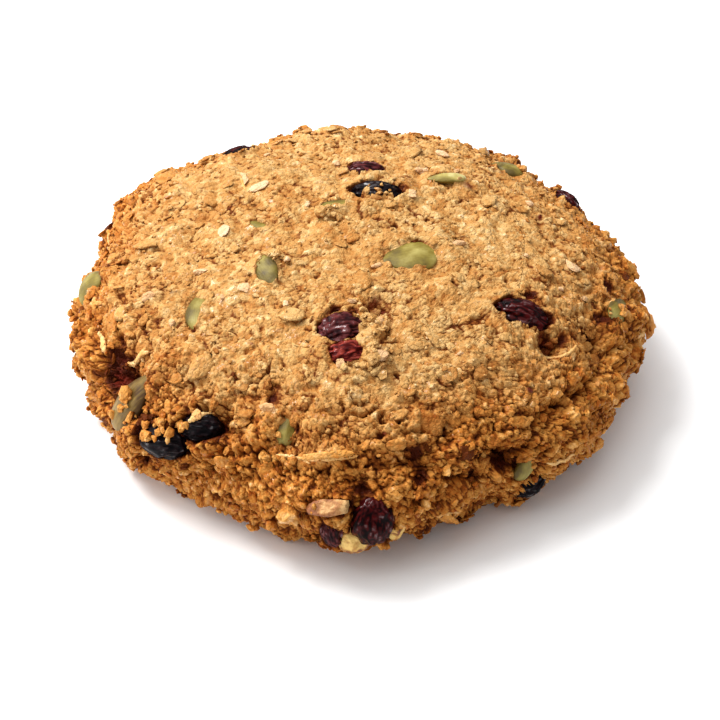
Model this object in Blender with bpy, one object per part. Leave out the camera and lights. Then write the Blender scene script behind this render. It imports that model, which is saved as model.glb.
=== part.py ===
"""Oatmeal cookie: a craggy baked dome of oat dough with fruit, seeds and nuts in its crust.

Units are metres. The flat underside lies on z = 0 with the origin at its middle, +Z is up
and the front of the cookie faces -Y. A place on the crust is named by its azimuth, in
degrees counter-clockwise from +X, and its reach: the share of the way down the half
section, 0 at the top centre and 1 at the rim of the base.
"""
import itertools
import math
from collections import namedtuple

import bmesh
import bpy
import numpy as np
from mathutils import Matrix, Vector

# ---------------------------------------------------------------- driving dimensions
MEAN_RADIUS = 0.0487
THICKNESS = 0.028
WIDEST_HEIGHT = 0.0106
BASE_SHARE = 0.90           # base radius as a share of the widest radius
DOME_SHOULDER = 2.8         # above 2 the dome is flatter on top and rounder at the shoulder
UNDERCUT_POWER = 2.2
SLOPE_STEP = 0.004          # reach on each side of a place over which the slope is taken
GAP = 0.0003                # clearance between a piece and its pocket
CUT_MARGIN = 1.15 * GAP     # a facet's middle moves out less than its corners do
LOWEST_SHARE = 0.4          # relief may lower the crust to this share of its smooth height
LOWEST_PIECE = 0.0012       # no set-in piece comes nearer to the base plane than this

# Swells of the rim outline: waves round the rim, height, azimuth of a crest
RIM_SWELLS = (
    (2, 0.00037, -70), (3, 0.00050, 21), (4, 0.00037, -15), (5, 0.00055, -10),
    (6, 0.00055, 28), (7, 0.00051, 0), (8, 0.00071, 5), (9, 0.00031, -15),
)

# Crust relief: size of one swell, height on top, height on the craggy side, noise salt
SWELLS = (0.0110, 0.0008, 0.0009, 11)
CLODS = (0.0064, 0.0007, 0.0017, 23)
CLOD_FLOOR = 0.55           # how far the creases between clods lie below their tops
COLLAR_RISE = 0.0006        # dough pushed up round a berry
COLLAR_WIDTH = 0.0016
SIDE_START = 0.55           # reach where the fine top crust starts to turn craggy
SIDE_FULL = 0.80

# Knobs and hollows: azimuth, reach, radius, rise (negative sinks)
KNOBS = (
    (-146, 0.705, 0.0042, -0.0042), (-119, 0.690, 0.0030, -0.0026),
    (-78, 0.710, 0.0026, -0.0030), (-26, 0.680, 0.0030, -0.0028),
    (-23.5, 0.860, 0.0034, -0.0026), (-37, 0.585, 0.0020, -0.0024),
    (-103, 0.650, 0.0022, -0.0022), (-61, 0.770, 0.0020, -0.0022),
    (-80, 0.290, 0.0019, -0.0016), (-150, 0.455, 0.0018, -0.0016),
    (-58, 0.690, 0.0045, 0.0008), (-34, 0.780, 0.0045, 0.0008),
    (0, 0.750, 0.0050, -0.0005), (35, 0.670, 0.0040, -0.0007),
    (50, 0.680, 0.0035, 0.0008), (96, 0.640, 0.0038, -0.0015),
    (142, 0.740, 0.0035, -0.0010), (-179, 0.760, 0.0030, 0.0004),
    (-166, 0.800, 0.0045, -0.0008), (-150, 0.850, 0.0045, -0.0020),
    (-117, 0.950, 0.0050, -0.0010), (-97, 0.930, 0.0050, -0.0016),
    (-75, 0.945, 0.0040, -0.0017), (-48, 0.900, 0.0045, -0.0011),
    (-31, 0.905, 0.0036, -0.0012), (-82, 0.915, 0.0040, -0.0006),
    (43, 0.700, 0.0030, -0.0011), (-28, 0.800, 0.0032, 0.0010),
    (-15, 0.800, 0.0034, 0.0010), (-6, 0.820, 0.0030, 0.0007),
    (15, 0.720, 0.0030, 0.0007), (-134, 0.920, 0.0036, 0.0008),
    (-68, 0.970, 0.0030, 0.0008), (87, 0.640, 0.0030, 0.0008),
    (-89, 0.930, 0.0045, -0.0009), (-66, 0.945, 0.0036, -0.0009),
)

# Cracks: half width, depth, then a path of azimuth and reach
CRACKS = (
    (0.0013, 0.0020, ((-94, 0.548), (-88, 0.562), (-83, 0.592), (-76, 0.627), (-69, 0.660))),
    (0.0012, 0.0014, ((-116, 0.690), (-106, 0.715), (-96, 0.705), (-88, 0.690), (-80, 0.700))),
    (0.0012, 0.0026, ((-72, 0.780), (-65, 0.775), (-60, 0.760), (-52, 0.775))),
    (0.0014, 0.0022, ((-48, 0.700), (-40, 0.725), (-33, 0.715), (-24, 0.745))),
    (0.0012, 0.0020, ((-135, 0.860), (-126, 0.845), (-117, 0.860), (-108, 0.850))),
    (0.0012, 0.0018, ((150, 0.800), (162, 0.770), (174, 0.780), (-174, 0.800))),
    (0.0012, 0.0020, ((60, 0.780), (72, 0.760), (86, 0.785), (98, 0.770), (112, 0.790))),
    (0.0012, 0.0018, ((8, 0.740), (18, 0.760), (30, 0.790), (40, 0.780))),
)

Piece = namedtuple("Piece", "name azimuth reach lift length width thick spin roll")

# Set-in pieces: place on the crust, lift of the middle, three sizes, spin about the
# crust's normal from the level direction towards uphill, and roll about the long axis.
FRUIT = (
    Piece("cranberry_centre", -94.5, 0.345, -0.0007, 0.0080, 0.0068, 0.0044, 12, 0),
    Piece("cranberry_centre_split", -92.0, 0.413, -0.0007, 0.0074, 0.0044, 0.0038, 8, 10),
    Piece("raisin_back", 71.5, 0.178, -0.0010, 0.0098, 0.0058, 0.0042, -164, 0),
    Piece("raisin_right", -34.0, 0.484, -0.0009, 0.0099, 0.0062, 0.0050, -65, 0),
    Piece("raisin_left_low", -129.5, 0.772, -0.0007, 0.0104, 0.0058, 0.0054, 14, 0),
    Piece("raisin_left_high", -123.0, 0.705, -0.0006, 0.0074, 0.0050, 0.0044, 20, 0),
    Piece("cranberry_front", -87.0, 0.824, -0.0011, 0.0092, 0.0070, 0.0058, 84, 0),
    Piece("cranberry_front_small", -93.6, 0.856, -0.0008, 0.0076, 0.0042, 0.0040, 98, 0),
    Piece("cranberry_back", 84.0, 0.292, -0.0005, 0.0076, 0.0042, 0.0034, 0, 0),
    Piece("cranberry_rim_right", 28.0, 0.668, -0.0003, 0.0074, 0.0044, 0.0040, 10, 0),
    Piece("raisin_rim_left", 124.5, 0.570, -0.0006, 0.0082, 0.0050, 0.0042, 146, 0),
    Piece("raisin_low_right", -53.5, 0.905, -0.0003, 0.0066, 0.0044, 0.0040, 10, 0),
)
SEEDS = (
    Piece("pumpkin_seed_centre", -36.1, 0.163, -0.0001, 0.0094, 0.0074, 0.0022, 143, 0),
    Piece("pumpkin_seed_back", 121.7, 0.094, -0.0004, 0.0078, 0.0044, 0.0020, -175, 16),
    Piece("pumpkin_seed_left", -144.0, 0.273, -0.0002, 0.0078, 0.0054, 0.0022, -6, 24),
    Piece("pumpkin_seed_far_left", -143.7, 0.453, -0.0005, 0.0086, 0.0052, 0.0022, 142, 18),
    Piece("pumpkin_seed_rim_left", -179.0, 0.718, -0.0002, 0.0072, 0.0060, 0.0026, 84, 10),
    Piece("pumpkin_seed_left_front", -140.8, 0.738, -0.0001, 0.0112, 0.0066, 0.0030, 77, -12),
    Piece("pumpkin_seed_sliver", 45.0, 0.330, -0.0002, 0.0070, 0.0034, 0.0018, 57, 10),
    Piece("pumpkin_seed_rim_right", 45.0, 0.592, -0.0006, 0.0072, 0.0062, 0.0032, 18, 8),
    Piece("pumpkin_seed_right", -12.9, 0.684, -0.0006, 0.0070, 0.0040, 0.0020, -16, 10),
    Piece("pumpkin_seed_low_right", -55.6, 0.821, -0.0004, 0.0052, 0.0044, 0.0020, 73, 12),
    Piece("pumpkin_seed_front", -104.5, 0.627, -0.0005, 0.0054, 0.0032, 0.0020, 90, 14),
    Piece("pumpkin_seed_buried", 172.5, 0.251, -0.0003, 0.0064, 0.0042, 0.0020, 78, 12),
)
NUTS = (
    Piece("nut_piece_front", -90.2, 0.870, -0.0006, 0.0050, 0.0048, 0.0040, 20, 0),
    Piece("nut_piece_side", -83.2, 0.866, -0.0006, 0.0046, 0.0044, 0.0034, 60, 0),
    Piece("nut_piece_upper", -94.0, 0.777, -0.0003, 0.0062, 0.0028, 0.0030, 8, 0),
)
PIECES = FRUIT + SEEDS + NUTS
FINE_BERRY = 0.0098         # longer berries than this are made of smaller triangles
FIRST_SALT = 31             # each piece's noise starts from a number of its own
SALT_STEP = 17
BERRY_FOLDS = (1.5, 2.4, 2.0)   # folds along, across and through a berry
BERRY_CORE = 0.78           # share of the ball's radius where a fold is deepest
BERRY_PLUMP = 0.24          # how much a fold's crown stands above that
BERRY_BEND = 0.22           # the ends of a berry curl down by this share
BERRY_BEND_LEVEL = 0.4
SEED_TAPER = 0.30           # the tip of a seed is this much narrower than its middle
SEED_ENDS = 0.10
SEED_EDGE = 0.15            # the sides of a seed are this much thinner than its middle
SEED_WARP = (1.7, 0.10)     # size and height of a seed's unevenness
NUT_SIDES = 9               # flat sides cut on a piece of nut
NUT_CUT = 0.72              # how far from the middle they lie, as a share of the radius
NUT_FILL = 1.15             # brings the cut piece back to its full size

# Oat flakes and chips that lie at a known place, fused to the crust: azimuth, reach,
# length, width, thickness, spin, roll
SHOWN_FLAKES = (
    (-109.0, 0.604, 0.0024, 0.0022, 0.0018, 20, 20), (-106.5, 0.630, 0.0030, 0.0020, 0.0014, 70, 25),
    (-159.5, 0.539, 0.0040, 0.0026, 0.0012, 60, 12), (139.5, 0.360, 0.0040, 0.0020, 0.0010, 70, 30),
    (141.0, 0.302, 0.0034, 0.0030, 0.0010, 20, 12), (177.0, 0.329, 0.0034, 0.0026, 0.0010, 0, 14),
    (-136.5, 0.328, 0.0034, 0.0026, 0.0012, 0, 16), (-9.5, 0.257, 0.0036, 0.0016, 0.0012, 110, 10),
    (-7.5, 0.539, 0.0034, 0.0028, 0.0012, 60, 14), (58.5, 0.326, 0.0036, 0.0026, 0.0012, 0, 10),
    (-90.5, 0.447, 0.0050, 0.0030, 0.0016, 12, 10), (-85.0, 0.436, 0.0040, 0.0026, 0.0016, -20, 18),
    (-104.0, 0.694, 0.0086, 0.0013, 0.0012, 10, 0), (-95.0, 0.668, 0.0090, 0.0013, 0.0012, 8, 0),
    (-58.5, 0.965, 0.0046, 0.0022, 0.0014, 96, 30), (-70.0, 0.935, 0.0044, 0.0022, 0.0014, 84, 30),
    (-6.5, 0.806, 0.0048, 0.0026, 0.0014, 30, 40), (-19.0, 0.850, 0.0046, 0.0028, 0.0014, 20, 36),
    (-34.0, 0.890, 0.0044, 0.0026, 0.0014, 10, 34), (-116.0, 0.965, 0.0042, 0.0024, 0.0014, 14, 30),
)
SCATTER_COUNT = 54          # tries; those that would touch a set-in piece are skipped
SCATTER_SEED = 7
FLAKE_LENGTH = (0.0034, 0.0060)
FLAKE_SLIMNESS = (0.50, 0.80)
FLAKE_THICKNESS = 0.0012
FLAKE_CLEARANCE = 0.0008
SHOWN_SHARE = 0.5           # share of its length by which a placed flake keeps clear of pieces
FLAKE_PROUD = 0.25          # lift of a flake's middle, as a share of its thickness
LOWEST_FLAKE = 0.0006
FLAKE_JITTER = (0.012, 4)   # random shift of a scattered flake, in reach and in degrees
FLAKE_REACHES = (0.03, 0.97)
FLAKE_TILT = (8, 18)        # degrees on top of the cookie
SIDE_TILT = 22              # added to that on its side

BODY_DIVISIONS = 5
SHORTEST_EDGE = 0.00005     # edges that cutting leaves shorter than this are merged
RIM_POLAR = math.radians(125)   # the sphere's polar angle that becomes the base rim
RIM_SNAP = math.radians(2.1)
BASE_CORNERS = 12           # a filled hole with more corners than this is the base
SHARP_ANGLE = math.radians(35)  # edges that turn by more than this are drawn sharp

# Colour and roughness by the first word of a node's name
FINISHES = {
    "cookie": ((0.62, 0.33, 0.11, 1), 0.85),
    "raisin": ((0.025, 0.010, 0.016, 1), 0.35),
    "cranberry": ((0.13, 0.012, 0.014, 1), 0.35),
    "pumpkin": ((0.32, 0.30, 0.09, 1), 0.55),
    "nut": ((0.74, 0.52, 0.22, 1), 0.60),
}


# ---------------------------------------------------------------- noise
def lattice_hash(cell, salt):
    """Even numbers from 0 to 1 for whole-number lattice cells, by mixing their bits."""
    mixed = cell[..., 0] * 374761393 + cell[..., 1] * 668265263 + cell[..., 2] * 1274126177
    mixed = (mixed + salt * 362437) & 0xFFFFFFFF
    mixed = ((mixed ^ (mixed >> 13)) * 1103515245) & 0xFFFFFFFF
    return (mixed ^ (mixed >> 16)) / 2.0 ** 32


def soft_noise(points, salt):
    """Gradient noise, about -1 to 1, with bumps one unit of length wide."""
    cell = np.floor(points).astype(np.int64)
    inside = points - cell
    fade = inside ** 3 * (inside * (inside * 6 - 15) + 10)
    total = np.zeros(len(points))
    for corner in itertools.product((0, 1), repeat=3):
        corner = np.array(corner)
        slope = [lattice_hash(cell + corner, salt + axis) * 2 - 1 for axis in range(3)]
        rise = (np.stack(slope, axis=1) * (inside - corner)).sum(axis=1)
        total += rise * np.prod(np.where(corner, fade, 1 - fade), axis=1)
    return 1.6 * total


def smooth_step(value, low, high):
    """0 below low, 1 above high, and a smooth rise between."""
    share = np.clip((value - low) / (high - low), 0, 1)
    return share * share * (3 - 2 * share)


# ---------------------------------------------------------------- the crust
def section_table(count=400):
    """Reach, radius share and height down the half section.

    Above the widest height it is a super-ellipse dome, and below it an undercut that
    draws in to the base rim. Reach is the length along that line.
    """
    turn = np.linspace(0, math.pi / 2, count)
    drop = np.linspace(0, 1, count)[1:]
    dome_height = WIDEST_HEIGHT + (THICKNESS - WIDEST_HEIGHT) * np.cos(turn)
    share = np.concatenate([np.sin(turn) ** (2 / DOME_SHOULDER),
                            1 - (1 - BASE_SHARE) * drop ** UNDERCUT_POWER])
    height = np.concatenate([dome_height, WIDEST_HEIGHT * (1 - drop)])
    steps = np.hypot(np.diff(share) * MEAN_RADIUS, np.diff(height))
    length = np.concatenate([[0], np.cumsum(steps)])
    return length / length[-1], share, height


REACH, RADIUS_SHARE, HEIGHT = section_table()


def plan_radius(azimuth):
    """Widest radius at an azimuth in radians: the mean radius and the rim's swells."""
    radius = np.full(np.shape(azimuth), MEAN_RADIUS)
    for waves, swell, crest in RIM_SWELLS:
        radius = radius + swell * np.cos(waves * (azimuth - math.radians(crest)))
    return radius


def smooth_crust(azimuth, reach):
    """Points and outward normals of the crust before any relief, as two arrays."""
    radius = plan_radius(azimuth)
    before = np.clip(reach - SLOPE_STEP, 0, 1)
    after = np.clip(reach + SLOPE_STEP, 0, 1)
    run = (np.interp(after, REACH, RADIUS_SHARE) - np.interp(before, REACH, RADIUS_SHARE)) * radius
    fall = np.interp(before, REACH, HEIGHT) - np.interp(after, REACH, HEIGHT)
    slant = np.hypot(run, fall)
    outward = np.stack([np.cos(azimuth), np.sin(azimuth)], axis=1)
    flat = outward * (radius * np.interp(reach, REACH, RADIUS_SHARE))[:, None]
    points = np.column_stack([flat, np.interp(reach, REACH, HEIGHT)])
    normals = np.column_stack([outward * (fall / slant)[:, None], run / slant])
    return points, normals


def distance_to_path(points, path):
    """Shortest distance from each point to a line of azimuth and reach pairs."""
    azimuth, reach = np.array(path).T
    corners = smooth_crust(np.radians(azimuth), reach)[0]
    nearest = np.full(len(points), np.inf)
    for start, end in zip(corners[:-1], corners[1:]):
        along = np.clip((points - start) @ (end - start) / ((end - start) @ (end - start)), 0, 1)
        foot = start + along[:, None] * (end - start)
        nearest = np.minimum(nearest, np.linalg.norm(points - foot, axis=1))
    return nearest


def relief(points, reach):
    """Rise of the crust above the smooth section, along its normal.

    Soft swells, clods with sharp creases between them (the size of a noise value has a
    crease where the value is zero), a collar round each berry, knobs, hollows and cracks.
    """
    side = smooth_step(reach, SIDE_START, SIDE_FULL)
    size, top_height, side_height, salt = SWELLS
    rise = (top_height + (side_height - top_height) * side) * soft_noise(points / size, salt)
    size, top_height, side_height, salt = CLODS
    clods = 2 * np.abs(soft_noise(points / size, salt)) - CLOD_FLOOR
    rise += (top_height + (side_height - top_height) * side) * clods
    for berry in FRUIT:
        middle = smooth_crust(np.radians([berry.azimuth]), np.array([berry.reach]))[0][0]
        away = np.linalg.norm(points - middle, axis=1) - (berry.length + berry.width) / 4
        rise += COLLAR_RISE * np.exp(-((away - COLLAR_WIDTH / 2) / COLLAR_WIDTH) ** 2)
    for azimuth, knob_reach, radius, height in KNOBS:
        middle = smooth_crust(np.radians([azimuth]), np.array([knob_reach]))[0][0]
        away = np.linalg.norm(points - middle, axis=1)
        rise += height * np.exp(-(away / radius) ** 2)
    for half_width, depth, path in CRACKS:
        rise -= depth * np.exp(-(distance_to_path(points, path) / half_width) ** 2)
    return rise


def crust(azimuth, reach):
    """Points on the finished crust and the normals that they were raised along."""
    smooth, normals = smooth_crust(azimuth, reach)
    points = smooth + normals * relief(smooth, reach)[:, None]
    points[:, 2] = np.maximum(points[:, 2], LOWEST_SHARE * smooth[:, 2])
    return points, normals


def crust_frame(azimuth, reach):
    """A matrix whose columns are level, uphill and outward at one place on the crust."""
    point, normal = crust(np.radians([azimuth]), np.array([reach]))
    normal = Vector(normal[0])
    level = Vector((-math.sin(math.radians(azimuth)), math.cos(math.radians(azimuth)), 0))
    frame = Matrix((level, normal.cross(level), normal)).transposed().to_4x4()
    frame.translation = Vector(point[0])
    return frame


def place(azimuth, reach, lift, spin, roll):
    """The crust's frame raised by lift, then turned by spin and roll in degrees."""
    turn = Matrix.Rotation(math.radians(spin), 4, "Z") @ Matrix.Rotation(math.radians(roll), 4, "X")
    return crust_frame(azimuth, reach) @ Matrix.Translation((0, 0, lift)) @ turn


# ---------------------------------------------------------------- mesh helpers
def vertex_array(shape):
    """Vertex places of a bmesh as an array."""
    return np.array([vertex.co for vertex in shape.verts])


def move_vertices(shape, places):
    """Put a bmesh's vertices at the given places."""
    for vertex, spot in zip(shape.verts, places):
        vertex.co = spot


def new_object(name, shape, collection):
    """An object that owns a bmesh's faces, linked to a collection."""
    mesh = bpy.data.meshes.new(name)
    shape.to_mesh(mesh)
    shape.free()
    item = bpy.data.objects.new(name, mesh)
    collection.objects.link(item)
    return item


def new_collection(name):
    """A collection linked to the scene."""
    collection = bpy.data.collections.new(name)
    bpy.context.scene.collection.children.link(collection)
    return collection


def clear_collection(collection):
    """Remove a collection with its objects."""
    for item in list(collection.objects):
        bpy.data.objects.remove(item, do_unlink=True)
    bpy.data.collections.remove(collection)


def apply_boolean(item, operands, operation):
    """Join a collection's solids to an object, or cut them from it, and keep the result."""
    modifier = item.modifiers.new("join", "BOOLEAN")
    modifier.operand_type = "COLLECTION"
    modifier.collection = operands
    modifier.operation = operation
    modifier.solver = "EXACT"
    graph = bpy.context.evaluated_depsgraph_get()
    mesh = bpy.data.meshes.new_from_object(item.evaluated_get(graph))
    item.modifiers.remove(modifier)
    item.data = mesh


def shells(shape):
    """The connected face groups of a bmesh, as lists of vertices."""
    left = set(shape.verts)
    groups = []
    while left:
        front = [left.pop()]
        group = list(front)
        while front:
            linked = {edge.other_vert(vertex) for vertex in front for edge in vertex.link_edges}
            front = list(linked & left)
            left -= linked
            group += front
        groups.append(group)
    return groups


def keep_main_body(item):
    """Drop loose scraps and sealed hollows: only the largest shell stays, in triangles."""
    shape = bmesh.new()
    shape.from_mesh(item.data)
    bmesh.ops.remove_doubles(shape, verts=shape.verts, dist=SHORTEST_EDGE)
    bmesh.ops.dissolve_degenerate(shape, edges=shape.edges, dist=SHORTEST_EDGE)
    groups = shells(shape)
    largest = max(groups, key=len)
    scraps = [vertex for group in groups if group is not largest for vertex in group]
    bmesh.ops.delete(shape, geom=scraps, context="VERTS")
    flatten_base(shape)
    bmesh.ops.triangulate(shape, faces=shape.faces, quad_method="BEAUTY", ngon_method="BEAUTY")
    shape.to_mesh(item.data)
    shape.free()


def flatten_base(shape):
    """Put one fan of faces in the base plane in place of the small ones there."""
    for vertex in shape.verts:
        if abs(vertex.co.z) < SHORTEST_EDGE:
            vertex.co.z = 0
    low = [face for face in shape.faces if all(vertex.co.z == 0 for vertex in face.verts)]
    if low:
        bmesh.ops.delete(shape, geom=low, context="FACES")
        loose = [edge for edge in shape.edges if not edge.link_faces]
        bmesh.ops.delete(shape, geom=loose, context="EDGES")
        rim = [edge for edge in shape.edges if edge.is_boundary]
        base = bmesh.ops.holes_fill(shape, edges=rim, sides=0)["faces"]
        bmesh.ops.poke(shape, faces=[face for face in base if len(face.verts) > BASE_CORNERS])


# ---------------------------------------------------------------- the pieces
def wrinkled_berry(piece, salt):
    """A dried berry: a small ball drawn in along folds, then flattened and bent."""
    shape = bmesh.new()
    divisions = 3 if piece.length > FINE_BERRY else 2
    bmesh.ops.create_icosphere(shape, subdivisions=divisions, radius=1)
    ball = vertex_array(shape)
    folds = 1 - np.abs(soft_noise(ball * BERRY_FOLDS + salt, salt))
    ball = ball * (BERRY_CORE + BERRY_PLUMP * folds ** 2)[:, None]
    ball[:, 2] += BERRY_BEND * (BERRY_BEND_LEVEL - ball[:, 0] ** 2)
    move_vertices(shape, ball * (piece.length / 2, piece.width / 2, piece.thick / 2))
    return shape


def pumpkin_seed(piece, salt):
    """A flat shelled seed: an oval that narrows to a tip, thickest in the middle."""
    shape = bmesh.new()
    bmesh.ops.create_uvsphere(shape, u_segments=10, v_segments=6, radius=1,
                              matrix=Matrix.Rotation(math.pi / 2, 4, "Y"))
    ball = vertex_array(shape)
    narrowing = 1 - SEED_TAPER * ball[:, 0] - SEED_ENDS * ball[:, 0] ** 2
    ball[:, 1] *= narrowing
    ball[:, 2] *= narrowing * (1 - SEED_EDGE * np.abs(ball[:, 1]))
    warp_size, warp_height = SEED_WARP
    ball[:, 2] += warp_height * soft_noise(ball * warp_size + salt, salt)
    move_vertices(shape, ball * (piece.length / 2, piece.width / 2, piece.thick / 2))
    return shape


def nut_chunk(piece, salt):
    """A broken piece of nut: a ball cut back by a few flat sides."""
    shape = bmesh.new()
    bmesh.ops.create_icosphere(shape, subdivisions=2, radius=1)
    ball = vertex_array(shape)
    draw = np.random.default_rng(salt)
    for direction in draw.normal(size=(NUT_SIDES, 3)):
        direction /= np.linalg.norm(direction)
        over = np.maximum(ball @ direction, NUT_CUT)
        ball = ball * (NUT_CUT / over)[:, None]
    move_vertices(shape, ball * (piece.length / 2, piece.width / 2, piece.thick / 2) * NUT_FILL)
    return shape


def set_in(shape, piece):
    """Move a shape to its place on the crust, clear of the base plane."""
    shape.transform(place(piece.azimuth, piece.reach, piece.lift, piece.spin, piece.roll))
    for vertex in shape.verts:
        vertex.co.z = max(vertex.co.z, LOWEST_PIECE)
    bmesh.ops.dissolve_degenerate(shape, edges=shape.edges, dist=SHORTEST_EDGE)
    return shape


def grown_copy(name, item, collection):
    """A copy of a piece with its skin moved out by the gap, to cut a pocket with."""
    shape = bmesh.new()
    shape.from_mesh(item.data)
    shape.normal_update()
    moved = [vertex.co + vertex.normal * CUT_MARGIN for vertex in shape.verts]
    move_vertices(shape, moved)
    return new_object(name, shape, collection)


def make_pieces(collection):
    """Every berry, seed and nut as its own object, each clear of the ones before it."""
    makers = ((FRUIT, wrinkled_berry), (SEEDS, pumpkin_seed), (NUTS, nut_chunk))
    made = []
    for group, maker in makers:
        for piece in group:
            salt = FIRST_SALT + SALT_STEP * PIECES.index(piece)
            item = new_object(piece.name, set_in(maker(piece, salt), piece), collection)
            middle = Vector(np.mean([vertex.co for vertex in item.data.vertices], axis=0))
            near = [other for other, centre, size in made
                    if (centre - middle).length < (size + piece.length) / 2 + GAP]
            if near:
                cutters = new_collection("neighbours")
                for other in near:
                    grown_copy("cut_" + other.name, other, cutters)
                apply_boolean(item, cutters, "DIFFERENCE")
                clear_collection(cutters)
                keep_main_body(item)
            made.append((item, middle, piece.length))
    return [item for item, middle, size in made]


# ---------------------------------------------------------------- flakes
def flake_solid(azimuth, reach, length, width, thickness, spin, roll):
    """One oat flake: a flattened twenty-sided ball, half sunk in the crust."""
    shape = bmesh.new()
    bmesh.ops.create_icosphere(shape, subdivisions=1, radius=1,
                               matrix=Matrix.Diagonal((length / 2, width / 2, thickness / 2, 1)))
    shape.transform(place(azimuth, reach, FLAKE_PROUD * thickness, spin, roll))
    for vertex in shape.verts:
        vertex.co.z = max(vertex.co.z, LOWEST_FLAKE)
    return shape


def is_clear(azimuth, reach, length):
    """True where a flake of this length keeps clear of every set-in piece."""
    spot = crust_frame(azimuth, reach).translation
    for piece in PIECES:
        middle = crust_frame(piece.azimuth, piece.reach).translation
        if (spot - middle).length < (length + piece.length) / 2 + FLAKE_CLEARANCE:
            return False
    return True


def scattered_flakes():
    """Flakes spread evenly over the crust by the golden angle, with a seeded jitter."""
    draw = np.random.default_rng(SCATTER_SEED)
    ring_area = np.cumsum(RADIUS_SHARE[1:] * np.diff(REACH))
    golden = 180 * (3 - math.sqrt(5))
    reach_jitter, azimuth_jitter = FLAKE_JITTER
    for count in range(SCATTER_COUNT):
        share = (count + 0.5) / SCATTER_COUNT
        reach = float(np.interp(share * ring_area[-1], ring_area, REACH[1:]))
        reach = float(np.clip(reach + draw.uniform(-1, 1) * reach_jitter, *FLAKE_REACHES))
        azimuth = count * golden % 360 + draw.uniform(-1, 1) * azimuth_jitter
        length = draw.uniform(*FLAKE_LENGTH)
        width = length * draw.uniform(*FLAKE_SLIMNESS)
        tilt = draw.uniform(*FLAKE_TILT) + SIDE_TILT * float(smooth_step(reach, SIDE_START, SIDE_FULL))
        spin = draw.uniform(0, 360)
        if is_clear(azimuth, reach, length):
            yield azimuth, reach, length, width, FLAKE_THICKNESS, spin, tilt


# ---------------------------------------------------------------- the dough
def dough_body(collection):
    """The baked dome: a ball of small triangles mapped to the crust and the flat base."""
    shape = bmesh.new()
    bmesh.ops.create_icosphere(shape, subdivisions=BODY_DIVISIONS, radius=1)
    ball = vertex_array(shape)
    ball /= np.linalg.norm(ball, axis=1)[:, None]
    polar = np.arccos(np.clip(ball[:, 2], -1, 1))
    polar = np.where(np.abs(polar - RIM_POLAR) < RIM_SNAP, RIM_POLAR, polar)
    azimuth = np.arctan2(ball[:, 1], ball[:, 0])
    places = crust(azimuth, np.clip(polar / RIM_POLAR, 0, 1))[0]
    under = polar >= RIM_POLAR
    inward = ((math.pi - polar) / (math.pi - RIM_POLAR))[:, None]
    places[under] = (places * inward)[under]
    places[under, 2] = 0
    move_vertices(shape, places)
    return new_object("cookie", shape, collection)


def add_flakes(dough):
    """Fuse the oat flakes to the dough."""
    flakes = new_collection("flakes")
    shown = [flake for flake in SHOWN_FLAKES if is_clear(*flake[:2], SHOWN_SHARE * flake[2])]
    for number, flake in enumerate(shown + list(scattered_flakes())):
        new_object(f"flake_{number}", flake_solid(*flake), flakes)
    apply_boolean(dough, flakes, "UNION")
    clear_collection(flakes)


def cut_pockets(dough, pieces):
    """Cut a pocket round every set-in piece."""
    cutters = new_collection("pockets")
    for piece in pieces:
        grown_copy("pocket_" + piece.name, piece, cutters)
    apply_boolean(dough, cutters, "DIFFERENCE")
    clear_collection(cutters)


def give_material(item):
    """A plain baked, berry, seed or nut material of the object's own."""
    colour, roughness = FINISHES[item.name.split("_")[0]]
    material = bpy.data.materials.new(item.name)
    material.use_nodes = True
    shader = material.node_tree.nodes["Principled BSDF"]
    shader.inputs["Base Color"].default_value = colour
    shader.inputs["Roughness"].default_value = roughness
    shader.inputs["Metallic"].default_value = 0
    item.data.materials.clear()
    item.data.materials.append(material)


def main():
    """Clear the scene and model the cookie."""
    for item in list(bpy.data.objects):
        bpy.data.objects.remove(item, do_unlink=True)
    cookie = new_collection("oatmeal_cookie")
    pieces = make_pieces(cookie)
    dough = dough_body(cookie)
    add_flakes(dough)
    cut_pockets(dough, pieces)
    keep_main_body(dough)
    for item in [dough] + pieces:
        give_material(item)
        item.data.shade_smooth()
        item.data.set_sharp_from_angle(angle=SHARP_ANGLE)


main()
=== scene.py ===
# %% [markdown]
# # A thick oat cookie with dried fruit, pumpkin seeds and nut pieces
#
# The packed solids are the frame: they say where everything is, in metres, with the flat
# underside on z = 0, +Z up and the front towards -Y. Each cell below dresses one part of
# them: first the dough with its crumbly crust, then what is scattered over it, then the
# berries, seeds and nuts, and last the light and the camera.

import itertools
import math
from collections import namedtuple

import bmesh
import bpy
import numpy as np
from mathutils import Matrix, Vector


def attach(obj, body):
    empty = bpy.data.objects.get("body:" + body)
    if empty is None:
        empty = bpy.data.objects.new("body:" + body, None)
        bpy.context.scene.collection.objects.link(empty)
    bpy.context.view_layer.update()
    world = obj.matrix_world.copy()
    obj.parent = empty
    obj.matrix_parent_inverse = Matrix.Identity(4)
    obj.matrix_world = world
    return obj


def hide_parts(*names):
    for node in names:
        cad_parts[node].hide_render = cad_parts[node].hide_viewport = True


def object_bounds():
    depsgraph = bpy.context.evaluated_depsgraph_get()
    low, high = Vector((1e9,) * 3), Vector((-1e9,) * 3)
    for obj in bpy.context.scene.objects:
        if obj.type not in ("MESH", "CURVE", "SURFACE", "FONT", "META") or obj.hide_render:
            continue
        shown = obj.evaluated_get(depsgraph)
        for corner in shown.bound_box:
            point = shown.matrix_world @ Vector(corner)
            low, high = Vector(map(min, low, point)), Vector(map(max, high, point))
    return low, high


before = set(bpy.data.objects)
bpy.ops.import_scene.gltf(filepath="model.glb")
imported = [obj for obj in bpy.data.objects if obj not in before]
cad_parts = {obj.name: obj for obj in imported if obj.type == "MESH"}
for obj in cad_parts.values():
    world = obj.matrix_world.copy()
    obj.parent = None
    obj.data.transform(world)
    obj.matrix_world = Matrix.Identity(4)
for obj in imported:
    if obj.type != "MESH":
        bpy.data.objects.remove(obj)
cad_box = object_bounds()
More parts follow.
